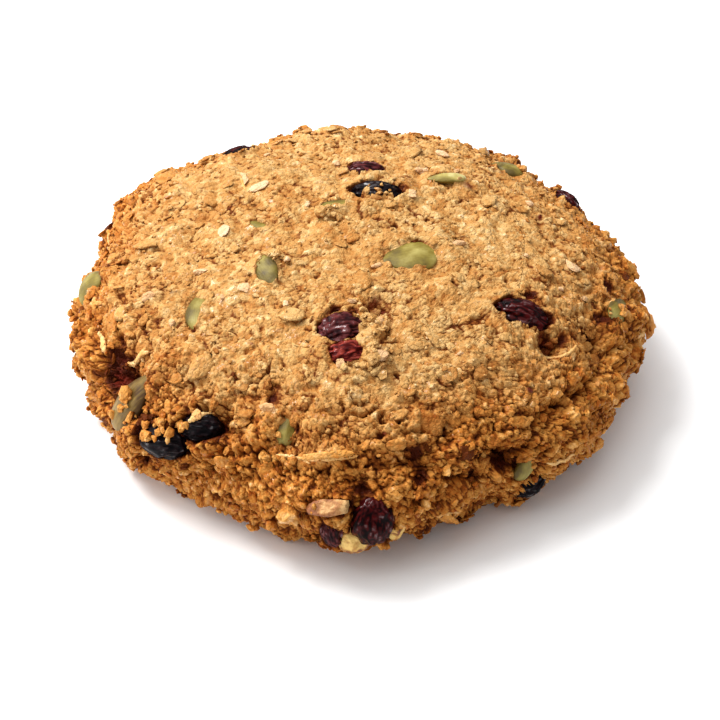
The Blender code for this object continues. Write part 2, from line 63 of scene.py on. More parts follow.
cad_size = [round(1000 * side, 1) for side in cad_box[1] - cad_box[0]]
print(len(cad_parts), "solids,", *cad_size, "mm")

# %% [markdown]
# ## Sizes
#
# A place on the crust has an azimuth, counter-clockwise from +X, and a reach: the share of
# the way down the half section, 0 at the top centre and 1 at the rim of the base. Azimuths
# are in degrees. The solids were made from these same sizes, so the fine surface lies where
# they do. Long tables give lengths in millimetres, because such rows are easier to read.

# %% Units
def in_metres(columns, rows):
    """Rows of a table, with the numbers in these columns turned from mm to metres."""
    return tuple(tuple(value / 1000 if column in columns else value
                       for column, value in enumerate(row)) for row in rows)


print("a row in metres:", *in_metres((1, 2), [(-90, 1.5, 0.3)]))

# %% Sizes of the dough
MEAN_RADIUS = 0.0487
THICKNESS = 0.028
WIDEST_HEIGHT = 0.0106
BASE_SHARE = 0.90
DOME_SHOULDER = 2.8
UNDERCUT_POWER = 2.2
LOWEST_SHARE = 0.4
SIDE_START = 0.55
SIDE_FULL = 0.80
# waves round the rim, height, azimuth of a crest
RIM_SWELLS = (
    (2, 0.00037, -70), (3, 0.00050, 21), (4, 0.00037, -15), (5, 0.00055, -10),
    (6, 0.00055, 28), (7, 0.00051, 0), (8, 0.00071, 5), (9, 0.00031, -15),
)
# size, height on top, height on the craggy side, noise salt
SWELLS = (0.0110, 0.0008, 0.0009, 11)
CLODS = (0.0064, 0.0007, 0.0017, 23)
CLOD_FLOOR = 0.55
COLLAR_RISE = 0.0006
COLLAR_WIDTH = 0.0016
# azimuth, reach, radius and rise in mm: knobs of dough, and hollows where the rise is negative
KNOBS = in_metres((2, 3), (
    (-146, 0.705, 4.2, -4.2), (-119, 0.69, 3, -2.6), (-78, 0.71, 2.6, -3), (-26, 0.68, 3, -2.8),
    (-23.5, 0.86, 3.4, -2.6), (-37, 0.585, 2, -2.4), (-103, 0.65, 2.2, -2.2),
    (-61, 0.77, 2, -2.2), (-80, 0.29, 1.9, -1.6), (-150, 0.455, 1.8, -1.6),
    (-58, 0.69, 4.5, 0.8), (-34, 0.78, 4.5, 0.8), (0, 0.75, 5, -0.5), (35, 0.67, 4, -0.7),
    (50, 0.68, 3.5, 0.8), (96, 0.64, 3.8, -1.5), (142, 0.74, 3.5, -1), (-179, 0.76, 3, 0.4),
    (-166, 0.8, 4.5, -0.8), (-150, 0.85, 4.5, -2), (-117, 0.95, 5, -1), (-97, 0.93, 5, -1.6),
    (-75, 0.945, 4, -1.7), (-48, 0.9, 4.5, -1.1), (-31, 0.905, 3.6, -1.2), (-82, 0.915, 4, -0.6),
    (43, 0.7, 3, -1.1), (-28, 0.8, 3.2, 1), (-15, 0.8, 3.4, 1), (-6, 0.82, 3, 0.7),
    (15, 0.72, 3, 0.7), (-134, 0.92, 3.6, 0.8), (-68, 0.97, 3, 0.8), (87, 0.64, 3, 0.8),
    (-89, 0.93, 4.5, -0.9), (-66, 0.945, 3.6, -0.9),
))
# half width and depth in mm, path of azimuth and reach
CRACKS = in_metres((0, 1), (
    (1.3, 2, ((-94, 0.548), (-88, 0.562), (-83, 0.592), (-76, 0.627), (-69, 0.66))),
    (1.2, 1.4, ((-116, 0.69), (-106, 0.715), (-96, 0.705), (-88, 0.69), (-80, 0.7))),
    (1.2, 2.6, ((-72, 0.78), (-65, 0.775), (-60, 0.76), (-52, 0.775))),
    (1.4, 2.2, ((-48, 0.7), (-40, 0.725), (-33, 0.715), (-24, 0.745))),
    (1.2, 2, ((-135, 0.86), (-126, 0.845), (-117, 0.86), (-108, 0.85))),
    (1.2, 1.8, ((150, 0.8), (162, 0.77), (174, 0.78), (-174, 0.8))),
    (1.2, 2, ((60, 0.78), (72, 0.76), (86, 0.785), (98, 0.77), (112, 0.79))),
    (1.2, 1.8, ((8, 0.74), (18, 0.76), (30, 0.79), (40, 0.78))),
))
print("mean width", 2000 * MEAN_RADIUS, "mm, height", 1000 * THICKNESS, "mm")

# %% [markdown]
# ## What is set into the crust
#
# Each row gives a piece's place on the crust, how far its middle is lifted, its length,
# width and thickness, its spin about the crust's normal and its roll about its long axis.

# %% Places of berries, seeds and nuts
Piece = namedtuple("Piece", "name azimuth reach lift length width thick spin roll")


def pieces(*rows):
    """Rows of a piece's numbers in that order, with the lift and the sizes in mm."""
    return tuple(Piece(*row) for row in in_metres((3, 4, 5, 6), rows))


FRUIT = pieces(
    ("cranberry_centre", -94.5, 0.345, -0.7, 8, 6.8, 4.4, 12, 0),
    ("cranberry_centre_split", -92, 0.413, -0.7, 7.4, 4.4, 3.8, 8, 10),
    ("raisin_back", 71.5, 0.178, -1, 9.8, 5.8, 4.2, -164, 0),
    ("raisin_right", -34, 0.484, -0.9, 9.9, 6.2, 5, -65, 0),
    ("raisin_left_low", -129.5, 0.772, -0.7, 10.4, 5.8, 5.4, 14, 0),
    ("raisin_left_high", -123, 0.705, -0.6, 7.4, 5, 4.4, 20, 0),
    ("cranberry_front", -87, 0.824, -1.1, 9.2, 7, 5.8, 84, 0),
    ("cranberry_front_small", -93.6, 0.856, -0.8, 7.6, 4.2, 4, 98, 0),
    ("cranberry_back", 84, 0.292, -0.5, 7.6, 4.2, 3.4, 0, 0),
    ("cranberry_rim_right", 28, 0.668, -0.3, 7.4, 4.4, 4, 10, 0),
    ("raisin_rim_left", 124.5, 0.57, -0.6, 8.2, 5, 4.2, 146, 0),
    ("raisin_low_right", -53.5, 0.905, -0.3, 6.6, 4.4, 4, 10, 0),
)
SEEDS = pieces(
    ("pumpkin_seed_centre", -36.1, 0.163, -0.1, 9.4, 7.4, 2.2, 143, 0),
    ("pumpkin_seed_back", 121.7, 0.094, -0.4, 7.8, 4.4, 2, -175, 16),
    ("pumpkin_seed_left", -144, 0.273, -0.2, 7.8, 5.4, 2.2, -6, 24),
    ("pumpkin_seed_far_left", -143.7, 0.453, -0.5, 8.6, 5.2, 2.2, 142, 18),
    ("pumpkin_seed_rim_left", -179, 0.718, -0.2, 7.2, 6, 2.6, 84, 10),
    ("pumpkin_seed_left_front", -140.8, 0.738, -0.1, 11.2, 6.6, 3, 77, -12),
    ("pumpkin_seed_sliver", 45, 0.33, -0.2, 7, 3.4, 1.8, 57, 10),
    ("pumpkin_seed_rim_right", 45, 0.592, -0.6, 7.2, 6.2, 3.2, 18, 8),
    ("pumpkin_seed_right", -12.9, 0.684, -0.6, 7, 4, 2, -16, 10),
    ("pumpkin_seed_low_right", -55.6, 0.821, -0.4, 5.2, 4.4, 2, 73, 12),
    ("pumpkin_seed_front", -104.5, 0.627, -0.5, 5.4, 3.2, 2, 90, 14),
    ("pumpkin_seed_buried", 172.5, 0.251, -0.3, 6.4, 4.2, 2, 78, 12),
)
NUTS = pieces(
    ("nut_piece_front", -90.2, 0.87, -0.6, 5, 4.8, 4, 20, 0),
    ("nut_piece_side", -83.2, 0.866, -0.6, 4.6, 4.4, 3.4, 60, 0),
    ("nut_piece_upper", -94, 0.777, -0.3, 6.2, 2.8, 3, 8, 0),
)
PIECES = FRUIT + SEEDS + NUTS
# where each piece's own noise starts, as in the solids
SALTS = {piece.name: 31 + 17 * number for number, piece in enumerate(PIECES)}
print(len(FRUIT), "berries", len(SEEDS), "seeds", len(NUTS), "nut pieces")

# %% [markdown]
# ## Noise
#
# Dough has no drawing to follow, so its lumps come from numbers that look random but are
# worked out from the place itself. Soft noise gives rounded swells. Its size without its
# sign has sharp valleys, which look like clods pressed together. Cell noise gives round
# grains with a dark groove between them, as crumbs have.

# %% Noise from places
def lattice_hash(cell, salt):
    """Even numbers from 0 to 1 for whole-number lattice cells, by mixing their bits."""
    mixed = cell[..., 0] * 374761393 + cell[..., 1] * 668265263 + cell[..., 2] * 1274126177
    mixed = (mixed + salt * 362437) & 0xFFFFFFFF
    mixed = ((mixed ^ (mixed >> 13)) * 1103515245) & 0xFFFFFFFF
    return (mixed ^ (mixed >> 16)) / 2.0 ** 32


def soft_noise(points, salt):
    """Gradient noise, about -1 to 1, with bumps one unit of length wide."""
    cell = np.floor(points).astype(np.int64)
    inside = points - cell
    fade = inside ** 3 * (inside * (inside * 6 - 15) + 10)
    total = np.zeros(len(points))
    for corner in itertools.product((0, 1), repeat=3):
        corner = np.array(corner)
        slope = [lattice_hash(cell + corner, salt + axis) * 2 - 1 for axis in range(3)]
        rise = (np.stack(slope, axis=1) * (inside - corner)).sum(axis=1)
        total += rise * np.prod(np.where(corner, fade, 1 - fade), axis=1)
    return 1.6 * total


sample = np.random.default_rng(1).uniform(0, 30, (4000, 3))
print("soft noise spreads by", round(float(soft_noise(sample, 5).std()), 2))


# %% Chips from places
def grains(points, salt):
    """Chips one unit wide: how round, how far from a groove, which chip, and which way.

    Every lattice cell holds one seed point, and a chip is all that lies nearest to one
    seed. Bulge falls from 1 at the seed with the square of the distance. Groove is how
    much further the second nearest seed is, 0 on the line between two chips. Own is an
    even number for each chip, and tilt is the place along a direction that each chip has.
    """
    cell = np.floor(points).astype(np.int64)
    nearest = np.full(len(points), 9.0)
    second = np.full(len(points), 9.0)
    own = np.zeros(len(points))
    offset = np.zeros(points.shape)
    for step in itertools.product((-1, 0, 1), repeat=3):
        near = cell + np.array(step)
        seed = near + np.stack([lattice_hash(near, salt + axis) for axis in range(3)], axis=1)
        away = np.linalg.norm(points - seed, axis=1)
        closer = away < nearest
        second = np.where(closer, nearest, np.minimum(second, away))
        nearest = np.minimum(nearest, away)
        own = np.where(closer, lattice_hash(near, salt + 3), own)
        offset = np.where(closer[:, None], points - seed, offset)
    lean = np.sin(own[:, None] * (41.0, 73.0, 97.0) + (0.0, 1.0, 2.0))
    tilt = (offset * lean).sum(axis=1)
    return np.clip(1 - (nearest / 0.85) ** 2, 0, 1), second - nearest, own, tilt


def warped(points, size, amount, salt):
    """Points in units of size, pushed about by soft noise so that chips get uneven edges."""
    push = [soft_noise(points / (0.8 * size), salt + 20 + axis) for axis in range(3)]
    return points / size + amount * np.stack(push, axis=1)


print("chips bulge by", round(float(grains(sample, 5)[0].mean()), 2), "on average")


# %% Steps and bells
def smooth_step(value, low, high):
    """0 below low, 1 above high, and a smooth rise between."""
    share = np.clip((value - low) / (high - low), 0, 1)
    return share * share * (3 - 2 * share)


def bell(value):
    """A bell curve, e to the power of minus the value squared: 1 at 0 and 0.37 at 1."""
    return np.exp(-value ** 2)


print("a step passes", smooth_step(0.25, 0, 1), "at a quarter, a bell", round(float(bell(0.25)), 2))

# %% [markdown]
# ## The crust as a formula
#
# A turned profile would be too even for a hand-dropped cookie, and sculpting can't be
# repeated. So the crust is a formula: a smooth section, turned round the middle with a rim
# that swells in and out, then raised or sunk along its normal by lumps, knobs and cracks.

# %% The smooth section
def section_table(count=400):
    """Reach, radius share and height down the half section.

    Above the widest height it is a super-ellipse dome, and below it an undercut that
    draws in to the base rim. Reach is the length along that line.
    """
    turn = np.linspace(0, math.pi / 2, count)
    drop = np.linspace(0, 1, count)[1:]
    dome_height = WIDEST_HEIGHT + (THICKNESS - WIDEST_HEIGHT) * np.cos(turn)
    share = np.concatenate([np.sin(turn) ** (2 / DOME_SHOULDER),
                            1 - (1 - BASE_SHARE) * drop ** UNDERCUT_POWER])
    height = np.concatenate([dome_height, WIDEST_HEIGHT * (1 - drop)])
    steps = np.hypot(np.diff(share) * MEAN_RADIUS, np.diff(height))
    length = np.concatenate([[0], np.cumsum(steps)])
    return length / length[-1], share, height, length[-1]


REACH, RADIUS_SHARE, HEIGHT, SECTION_LENGTH = section_table()
ring_areas = 2 * math.pi * MEAN_RADIUS * SECTION_LENGTH * RADIUS_SHARE[1:] * np.diff(REACH)
AREA_ABOVE = np.concatenate([[0], np.cumsum(ring_areas)])      # crust above each REACH
print("section", round(1000 * SECTION_LENGTH, 1), "mm, crust", round(1e6 * AREA_ABOVE[-1]), "mm2")


def plan_radius(azimuth):
    """Widest radius at an azimuth in radians: the mean radius and the rim's swells."""
    radius = np.full(np.shape(azimuth), MEAN_RADIUS)
    for waves, swell, crest in RIM_SWELLS:
        radius = radius + swell * np.cos(waves * (azimuth - math.radians(crest)))
    return radius


def smooth_crust(azimuth, reach):
    """Points and outward normals of the crust before any relief, as two arrays."""
    radius = plan_radius(azimuth)
    step = 0.004
    before = np.clip(reach - step, 0, 1)
    after = np.clip(reach + step, 0, 1)
    run = (np.interp(after, REACH, RADIUS_SHARE) - np.interp(before, REACH, RADIUS_SHARE)) * radius
    fall = np.interp(before, REACH, HEIGHT) - np.interp(after, REACH, HEIGHT)
    slant = np.hypot(run, fall)
    outward = np.stack([np.cos(azimuth), np.sin(azimuth)], axis=1)
    flat = outward * (radius * np.interp(reach, REACH, RADIUS_SHARE))[:, None]
    points = np.column_stack([flat, np.interp(reach, REACH, HEIGHT)])
    normals = np.column_stack([outward * (fall / slant)[:, None], run / slant])
    return points, normals


# %% Lumps, knobs and cracks
def away_from(points, azimuth, reach):
    """Distance of each point from a place on the smooth crust, azimuth in degrees."""
    place = smooth_crust(np.radians([azimuth]), np.array([reach]))[0][0]
    return np.linalg.norm(points - place, axis=1)


def distance_to_path(points, path):
    """Shortest distance from each point to a line of azimuth and reach pairs."""
    azimuth, reach = np.array(path).T
    corners = smooth_crust(np.radians(azimuth), reach)[0]
    nearest = np.full(len(points), np.inf)
    for start, end in zip(corners[:-1], corners[1:]):
        line = end - start
        along = np.clip((points - start) @ line / (line @ line), 0, 1)
        away = np.linalg.norm(points - start - along[:, None] * line, axis=1)
        nearest = np.minimum(nearest, away)
    return nearest


def relief(points, reach):
    """Rise of the crust above the smooth section, along its normal, as the solids have it.

    Soft swells, clods with sharp creases between them (the size of a noise value has a
    crease where the value is zero), a collar round each berry, knobs, hollows and cracks.
    """
    side = smooth_step(reach, SIDE_START, SIDE_FULL)
    size, top_height, side_height, salt = SWELLS
    rise = (top_height + (side_height - top_height) * side) * soft_noise(points / size, salt)
    size, top_height, side_height, salt = CLODS
    clods = 2 * np.abs(soft_noise(points / size, salt)) - CLOD_FLOOR
    rise += (top_height + (side_height - top_height) * side) * clods
    for berry in FRUIT:
        away = away_from(points, berry.azimuth, berry.reach) - (berry.length + berry.width) / 4
        rise += COLLAR_RISE * bell((away - COLLAR_WIDTH / 2) / COLLAR_WIDTH)
    for azimuth, knob_reach, radius, height in KNOBS:
        rise += height * bell(away_from(points, azimuth, knob_reach) / radius)
    for half_width, depth, path in CRACKS:
        rise -= depth * bell(distance_to_path(points, path) / half_width)
    return rise


def crust(azimuth, reach):
    """Points on the solids' crust and the normals that they were raised along."""
    smooth, normals = smooth_crust(azimuth, reach)
    points = smooth + normals * relief(smooth, reach)[:, None]
    points[:, 2] = np.maximum(points[:, 2], LOWEST_SHARE * smooth[:, 2])
    return points, normals


def place(azimuth, reach, lift, spin, roll):
    """A matrix with columns level, uphill and outward at a place on the crust, raised by
    lift, then turned by spin about outward and roll about level."""
    point, normal = crust(np.radians([azimuth]), np.array([reach]))
    normal = Vector(normal[0])
    level = Vector((-math.sin(math.radians(azimuth)), math.cos(math.radians(azimuth)), 0))
    spot = Matrix((level, normal.cross(level), normal)).transposed().to_4x4()
    spot.translation = Vector(point[0]) + normal * lift
    about_outward = Matrix.Rotation(math.radians(spin), 4, "Z")
    about_level = Matrix.Rotation(math.radians(roll), 4, "X")
    return spot @ about_outward @ about_level


PLACES = {piece.name: np.array(place(*piece[1:4], piece.spin, piece.roll)) for piece in PIECES}
print("highest set-in piece", round(1000 * max(spot[2, 3] for spot in PLACES.values()), 1), "mm up")

# %% [markdown]
# ## Where the dough lets a piece show
#
# Dough laps over most berries and seeds while they bake in, so only part of each shows,
# through a ragged window. A window is an ellipse in the piece's own outline: its middle
# and its half sizes along and across the piece, where 1 is the piece's edge. Inside it the
# dough drops away beside the piece, and outside it the dough lies over the piece.

# %% Windows
WINDOWS = {
    "cranberry_centre": (-0.12, 0, 0.88, 0.92),
    "cranberry_centre_split": (-0.1, 0, 0.74, 0.9),
    "raisin_back": (0, 0, 1.02, 1.05),
    "raisin_right": (0, 0, 0.98, 0.88),
    "raisin_left_low": (0, 0, 1.02, 1),
    "raisin_left_high": (0, -0.1, 1, 0.9),
    "cranberry_front": (-0.16, 0, 0.84, 0.96),
    "cranberry_front_small": (0, 0, 0.95, 1),
    "cranberry_back": (0, 0, 0.95, 0.75),
    "cranberry_rim_right": (0, 0, 0.9, 0.9),
    "raisin_rim_left": (-0.1, 0, 0.7, 0.7),
    "raisin_low_right": (0, -0.1, 0.85, 0.85),
    "pumpkin_seed_centre": (0.02, 0, 0.96, 0.94),
    "pumpkin_seed_back": (0.1, 0.5, 0.8, 0.34),
    "pumpkin_seed_left": (0.32, 0.12, 0.6, 0.58),
    "pumpkin_seed_far_left": (0, 0.55, 0.95, 0.55),
    "pumpkin_seed_rim_left": (0, 0, 0.98, 0.95),
    "pumpkin_seed_left_front": (0, 0, 1.02, 1),
    "pumpkin_seed_sliver": (0, 0, 0.98, 0.9),
    "pumpkin_seed_rim_right": (0, 0, 0.98, 0.98),
    "pumpkin_seed_right": (0.05, 0, 0.8, 0.9),
    "pumpkin_seed_low_right": (0, 0, 0.9, 0.95),
    "pumpkin_seed_front": (0.05, 0, 0.8, 0.85),
    "pumpkin_seed_buried": (0.05, 0.1, 0.5, 0.4),
    "nut_piece_front": (0, 0, 1.05, 1.05),
    "nut_piece_side": (0, 0, 1.05, 1.05),
    "nut_piece_upper": (0.3, 0, 0.78, 1.05),
}
# dough that lies on a piece inside its window, in the same numbers
ISLANDS = {
    "raisin_back": (0.05, -0.62, 0.56, 0.72),
    "cranberry_centre": (0.86, 0.55, 0.42, 0.6),
    "pumpkin_seed_back": (-0.2, -0.75, 0.5, 0.45),
}
# depth of the hollow in a window, and how deep its edge is in shade
POCKET = {"fruit": 0.0015, "seed": 0.0004, "nut": 0.0008}
POCKET_SHADE = {"fruit": 0.55, "seed": 0.15, "nut": 0.4}
LAP = 0.00035               # how thick the dough lies over what a window doesn't show
MOST_LAP = 0.0011           # where it would have to rise by more, the piece stays bare
RAGGED = 0.20               # how far a window's edge wanders, as a share of the piece
RAGGED_SIZE = 0.0017
print(len(WINDOWS), "windows", len(ISLANDS), "islands")


# %% How far out in a piece
def kind_of(piece):
    """Which family a set-in piece belongs to."""
    if piece in FRUIT:
        return "fruit"
    return "seed" if piece in SEEDS else "nut"


def ellipse(along, across, middle_along, middle_across, half_along, half_across):
    """How far out places lie in an ellipse: 0 in its middle and 1 on its edge."""
    return np.hypot((along - middle_along) / half_along, (across - middle_across) / half_across)


def piece_numbers(points, piece):
    """Where points lie over a piece: how far out in its outline and in its window, 1 on
    each edge, and their height above its middle in metres.

    An island counts as outside the window. Points more than a thickness above or below
    the piece count as far out.
    """
    spot = PLACES[piece.name]
    local = (points - spot[:3, 3]) @ spot[:3, :3]
    along = local[:, 0] / (piece.length / 2)
    across = local[:, 1] / (piece.width / 2)
    out = np.hypot(along, across)
    window = ellipse(along, across, *WINDOWS[piece.name])
    if piece.name in ISLANDS:
        window = np.maximum(window, 2 - ellipse(along, across, *ISLANDS[piece.name]))
    far = np.abs(local[:, 2]) > 1.2 * piece.thick + 0.002
    return np.where(far, 9, out), np.where(far, 9, window), local[:, 2]


def piece_top(out, piece):
    """Height of a piece's upper skin above its middle, as that of an ellipsoid."""
    return piece.thick / 2 * np.sqrt(np.clip(1 - out * out, 0, 1)) + 0.03 * piece.thick


tops = [float(piece_top(0, piece)) for piece in PIECES]
print("pieces stand up to", round(1000 * max(tops), 1), "mm above their middles")

# %% [markdown]
# ## The fine crust
#
# At the scale of a fingertip the crust is packed chips of oat and sugar, 1 to 2 mm across,
# with thin dark grooves between them and looser clods at the side. Bump mapping could draw
# these, but the outline and the shadows would stay smooth, so they are real relief.

# %% Chips and clods
# size, height on top, height at the side, salt
CLOD_FINE = (0.0036, 0.00018, 0.00055, 41)
LUMP = (0.0021, 0.00014, 0.00036, 47)
CHIP = (0.00130, 0.00012, 0.00031, 53)
SPECK = (0.00070, 0.00010, 0.00026, 67)
MEAN_BILLOW = 0.6           # taken off billows so that they neither raise nor sink the crust
FINE_START, FINE_FULL = 0.42, 0.74      # reach over which the fine relief grows
# reach over which the crust gets browner, as baked colour and as painted shade of the lower side
BROWN_SHADE_START, BROWN_SHADE_FULL = 0.45, 0.95    # reach over which the crust gets browner
LOOSE_SIZE = 0.0065         # patches where chips lie loose, with open grooves
CUT_WIDTH = 0.12            # of the grooves between chips, in chips
PIT_SIZE = 0.0021
PIT_DEPTH = 0.0007
CRACK_FILL = 0.55           # share of a crack's depth that loose crumbs fill up again
FLOOR_FADE = 0.0015         # height over which the fine relief fades out at the base
STAIN_WANDER = 0.0012       # size of the bays in a stain's edge
# the crust's painted light level starts at the first number below, and each of the others takes its
# share off it, painting shade into pits, cuts, creases, specks, cracks, holes, fine creases and
# hollows
OPEN_LIGHT = 0.66
PIT_SHADE, CUT_SHADE, CREASE_SHADE, SPECK_SHADE = 0.5, 0.26, 0.26, 0.12
CRACK_SHADE, HOLE_SHADE = 0.20, 0.9
FINE_CREASE_SHADE = 500     # for each metre of a crease's depth
HOLLOW_SHADE = 0.45         # in a hollow as deep as DEEP_HOLLOW
DEEP_HOLLOW = 0.0042
# what a chip's bulge, own level, tilt and grooves give to its height
BULGE, LEVEL, TILT, CUT = 0.5, 1.1, 1.3, 1.3
layers = (CLOD_FINE, LUMP, CHIP, SPECK)
print("layers at the side are", *[round(1e6 * layer[2]) for layer in layers], "micrometres high")

# %% Holes, creases and stains
# azimuth, reach, radius and depth in mm: holes between shreds and chips, with painted shade inside
HOLES = in_metres((2, 3), (
    (-149, 0.735, 1.7, 2.2), (-151, 0.757, 1.3, 1.8), (-153, 0.684, 1.3, 1.4),
    (-149, 0.672, 0.9, 1), (-36, 0.562, 1.2, 2.2), (-32.5, 0.595, 0.8, 1),
    (-60, 0.785, 1.3, 1.4), (-57, 0.805, 1, 1), (-109, 0.575, 0.8, 0.8), (-148, 0.455, 0.8, 1),
    (-126, 0.77, 1, 1), (-137.5, 0.735, 1.3, 1.6), (-119.5, 0.7, 1.2, 1.2),
    (-18, 0.655, 1.4, 1.2), (-7, 0.64, 1, 1), (24, 0.7, 1.2, 1.2), (64, 0.8, 1.4, 1.4),
    (118, 0.83, 1.4, 1.4), (160, 0.86, 1.4, 1.4), (92, 0.72, 1.1, 1.1), (-88.5, 0.742, 1, 1),
    (-26.5, 0.473, 1, 1.2), (-98.5, 0.292, 0.8, 0.9), (-90.5, 0.297, 0.7, 0.8),
    (-152, 0.708, 1.4, 1.6), (-133.5, 0.745, 1, 1.4), (-60.8, 0.78, 1.1, 1.4),
    (-77.5, 0.684, 0.8, 0.6), (-78, 0.748, 1, 1.2), (-67, 0.79, 1, 1),
))
# half width and depth in mm, path of azimuth and reach: creases too fine for the solids
CREASES = in_metres((0, 1), (
    (0.35, 0.5, ((-104, 0.355), (-101, 0.31), (-95, 0.278), (-88, 0.268), (-80, 0.272),
                 (-75, 0.3), (-75, 0.34), (-79, 0.378), (-84, 0.425))),
    (0.8, 0.4, ((-36, 0.43), (-41, 0.44), (-47, 0.425), (-53, 0.428), (-58, 0.41))),
    (0.4, 0.5, ((-116, 0.56), (-110, 0.545), (-104, 0.552), (-99, 0.54))),
    (0.4, 0.4, ((-160, 0.6), (-152, 0.585), (-146, 0.6), (-140, 0.59))),
    (0.4, 0.3, ((-12, 0.5), (-6, 0.48), (2, 0.49), (9, 0.47), (14, 0.49))),
))
# azimuth, reach, radius in mm, strength: juice from berries baked into the dough
STAINS = in_metres((2,), (
    (-149.5, 0.74, 2.6, 0.8), (-36, 0.562, 1.6, 1), (-26.5, 0.473, 1.1, 0.9),
    (-49.5, 0.64, 1.3, 0.9), (-152, 0.69, 1.8, 0.4), (-76, 0.68, 0.8, 0.7),
    (-68.5, 0.657, 0.7, 0.6), (-65.5, 0.57, 1.2, 0.35), (-80, 0.262, 2.1, 0.55),
    (-77, 0.29, 1.3, 0.6), (-101, 0.31, 1.3, 0.55), (36, 0.367, 1.7, 0.7),
    (14.5, 0.49, 0.8, 0.9), (-119, 0.684, 1.6, 0.6), (-121, 0.47, 0.7, 0.6),
    (-60, 0.235, 0.7, 0.5), (-176, 0.14, 0.9, 0.5), (-103, 0.585, 1, 0.5), (-84, 0.62, 0.7, 0.6),
    (-27, 0.33, 0.8, 0.5), (96, 0.52, 1.2, 0.7), (150, 0.64, 1.2, 0.7), (-166, 0.36, 0.8, 0.5),
    (64, 0.76, 1.4, 0.8), (12, 0.8, 1.2, 0.7), (118, 0.88, 1.3, 0.7),
))
print(len(HOLES), "holes", len(CREASES), "creases", len(STAINS), "stains")


# %% The fine relief
def by_reach(layer, side):
    """A relief layer's height at each point, between its top and its side value."""
    return layer[1] + (layer[2] - layer[1]) * side


def browning_and_shade(reach):
    """How far the crust is browned, and painted in shade, at each reach, from 0 on top to 1 at the
    base.
    """
    return smooth_step(reach, BROWN_SHADE_START, BROWN_SHADE_FULL)


def billow(points, layer):
    """Rounded lumps with sharp creases between them, from 0 in a crease to about 1."""
    return np.minimum(1, 2.4 * np.abs(soft_noise(points / layer[0], layer[3])))


def fine_relief(points, reach):
    """Extra rise of the fine crust, its painted light level, and its chip's own number.

    The painted light level runs from 0 in a groove to 1 on a crown: it paints shade into the grooves
    and light onto the crowns.
    """
    side = smooth_step(reach, FINE_START, FINE_FULL)
    clods = billow(points, CLOD_FINE)
    lumps = billow(warped(points, 1.0, 0.0006, 43), LUMP)
    specks = billow(points, SPECK)
    rise = by_reach(CLOD_FINE, side) * (clods - MEAN_BILLOW)
    rise += by_reach(LUMP, side) * (lumps - MEAN_BILLOW)
    rise += by_reach(SPECK, side) * (specks - MEAN_BILLOW)
    loose = smooth_step(soft_noise(points / LOOSE_SIZE, 37), -0.5, 0.4)
    loose = 0.35 + 0.65 * np.maximum(loose, side)
    bulge, groove, own, tilt = grains(warped(points, CHIP[0], 0.30, CHIP[3]), CHIP[3])
    cut = loose * bell(groove / CUT_WIDTH)
    rise += by_reach(CHIP, side) * (BULGE * bulge + LEVEL * (own - 0.5) + TILT * tilt - CUT * cut)
    pits = -soft_noise(warped(points, PIT_SIZE, 0.3, 83), 83)
    pits = smooth_step(pits, 0.56 - 0.12 * side, 0.90)
    rise -= PIT_DEPTH * pits
    creases = smooth_step(-lumps, -0.30, 0) * loose
    # painted shade in cuts, creases and pits and between specks, and painted light on the highest
    # clods
    shade = CUT_SHADE * cut + CREASE_SHADE * creases + SPECK_SHADE * (1 - specks) - 0.05
    openness = OPEN_LIGHT + 0.24 * (clods - 0.7) - PIT_SHADE * pits - (1 + 0.3 * side) * shade
    more_rise, more_open = placed_relief(points, lumps, specks)
    return rise + more_rise, openness + more_open, own


def placed_relief(points, lumps, specks):
    """What cracks, holes, creases and hollows at their own places add to rise, and the painted shade
    that they take off the painted light level.

    Each is a bell curve of the distance from its middle or its line.
    """
    rise = np.zeros(len(points))
    openness = np.zeros(len(points))
    for half_width, depth, path in CRACKS:
        away = distance_to_path(points, path) / half_width
        rise += CRACK_FILL * depth * bell(away) * (MEAN_BILLOW + lumps)
        openness -= CRACK_SHADE * bell(away / 0.45) * smooth_step(-lumps, -0.9, -0.2)
    for azimuth, reach, radius, depth in HOLES:
        hole = bell(away_from(points, azimuth, reach) * (1.2 - 0.4 * specks) / radius)
        rise -= depth * hole
        openness -= HOLE_SHADE * hole
    pushed = warped(points, 1.0, 0.0005, 59)
    for half_width, depth, path in CREASES:
        crease = bell(distance_to_path(pushed, path) / half_width)
        rise -= depth * crease
        openness -= FINE_CREASE_SHADE * depth * crease
    for azimuth, reach, radius, height in KNOBS:
        if height < 0:
            hollow = bell(away_from(points, azimuth, reach) / (0.8 * radius))
            openness += HOLLOW_SHADE * height / DEEP_HOLLOW * hollow
    return rise, openness


trial_reach = np.linspace(0, 1, 200)
trial = fine_relief(smooth_crust(np.zeros(200), trial_reach)[0], trial_reach)[0]
print("fine relief spans", round(1e6 * float(np.ptp(trial))), "micrometres on one section")


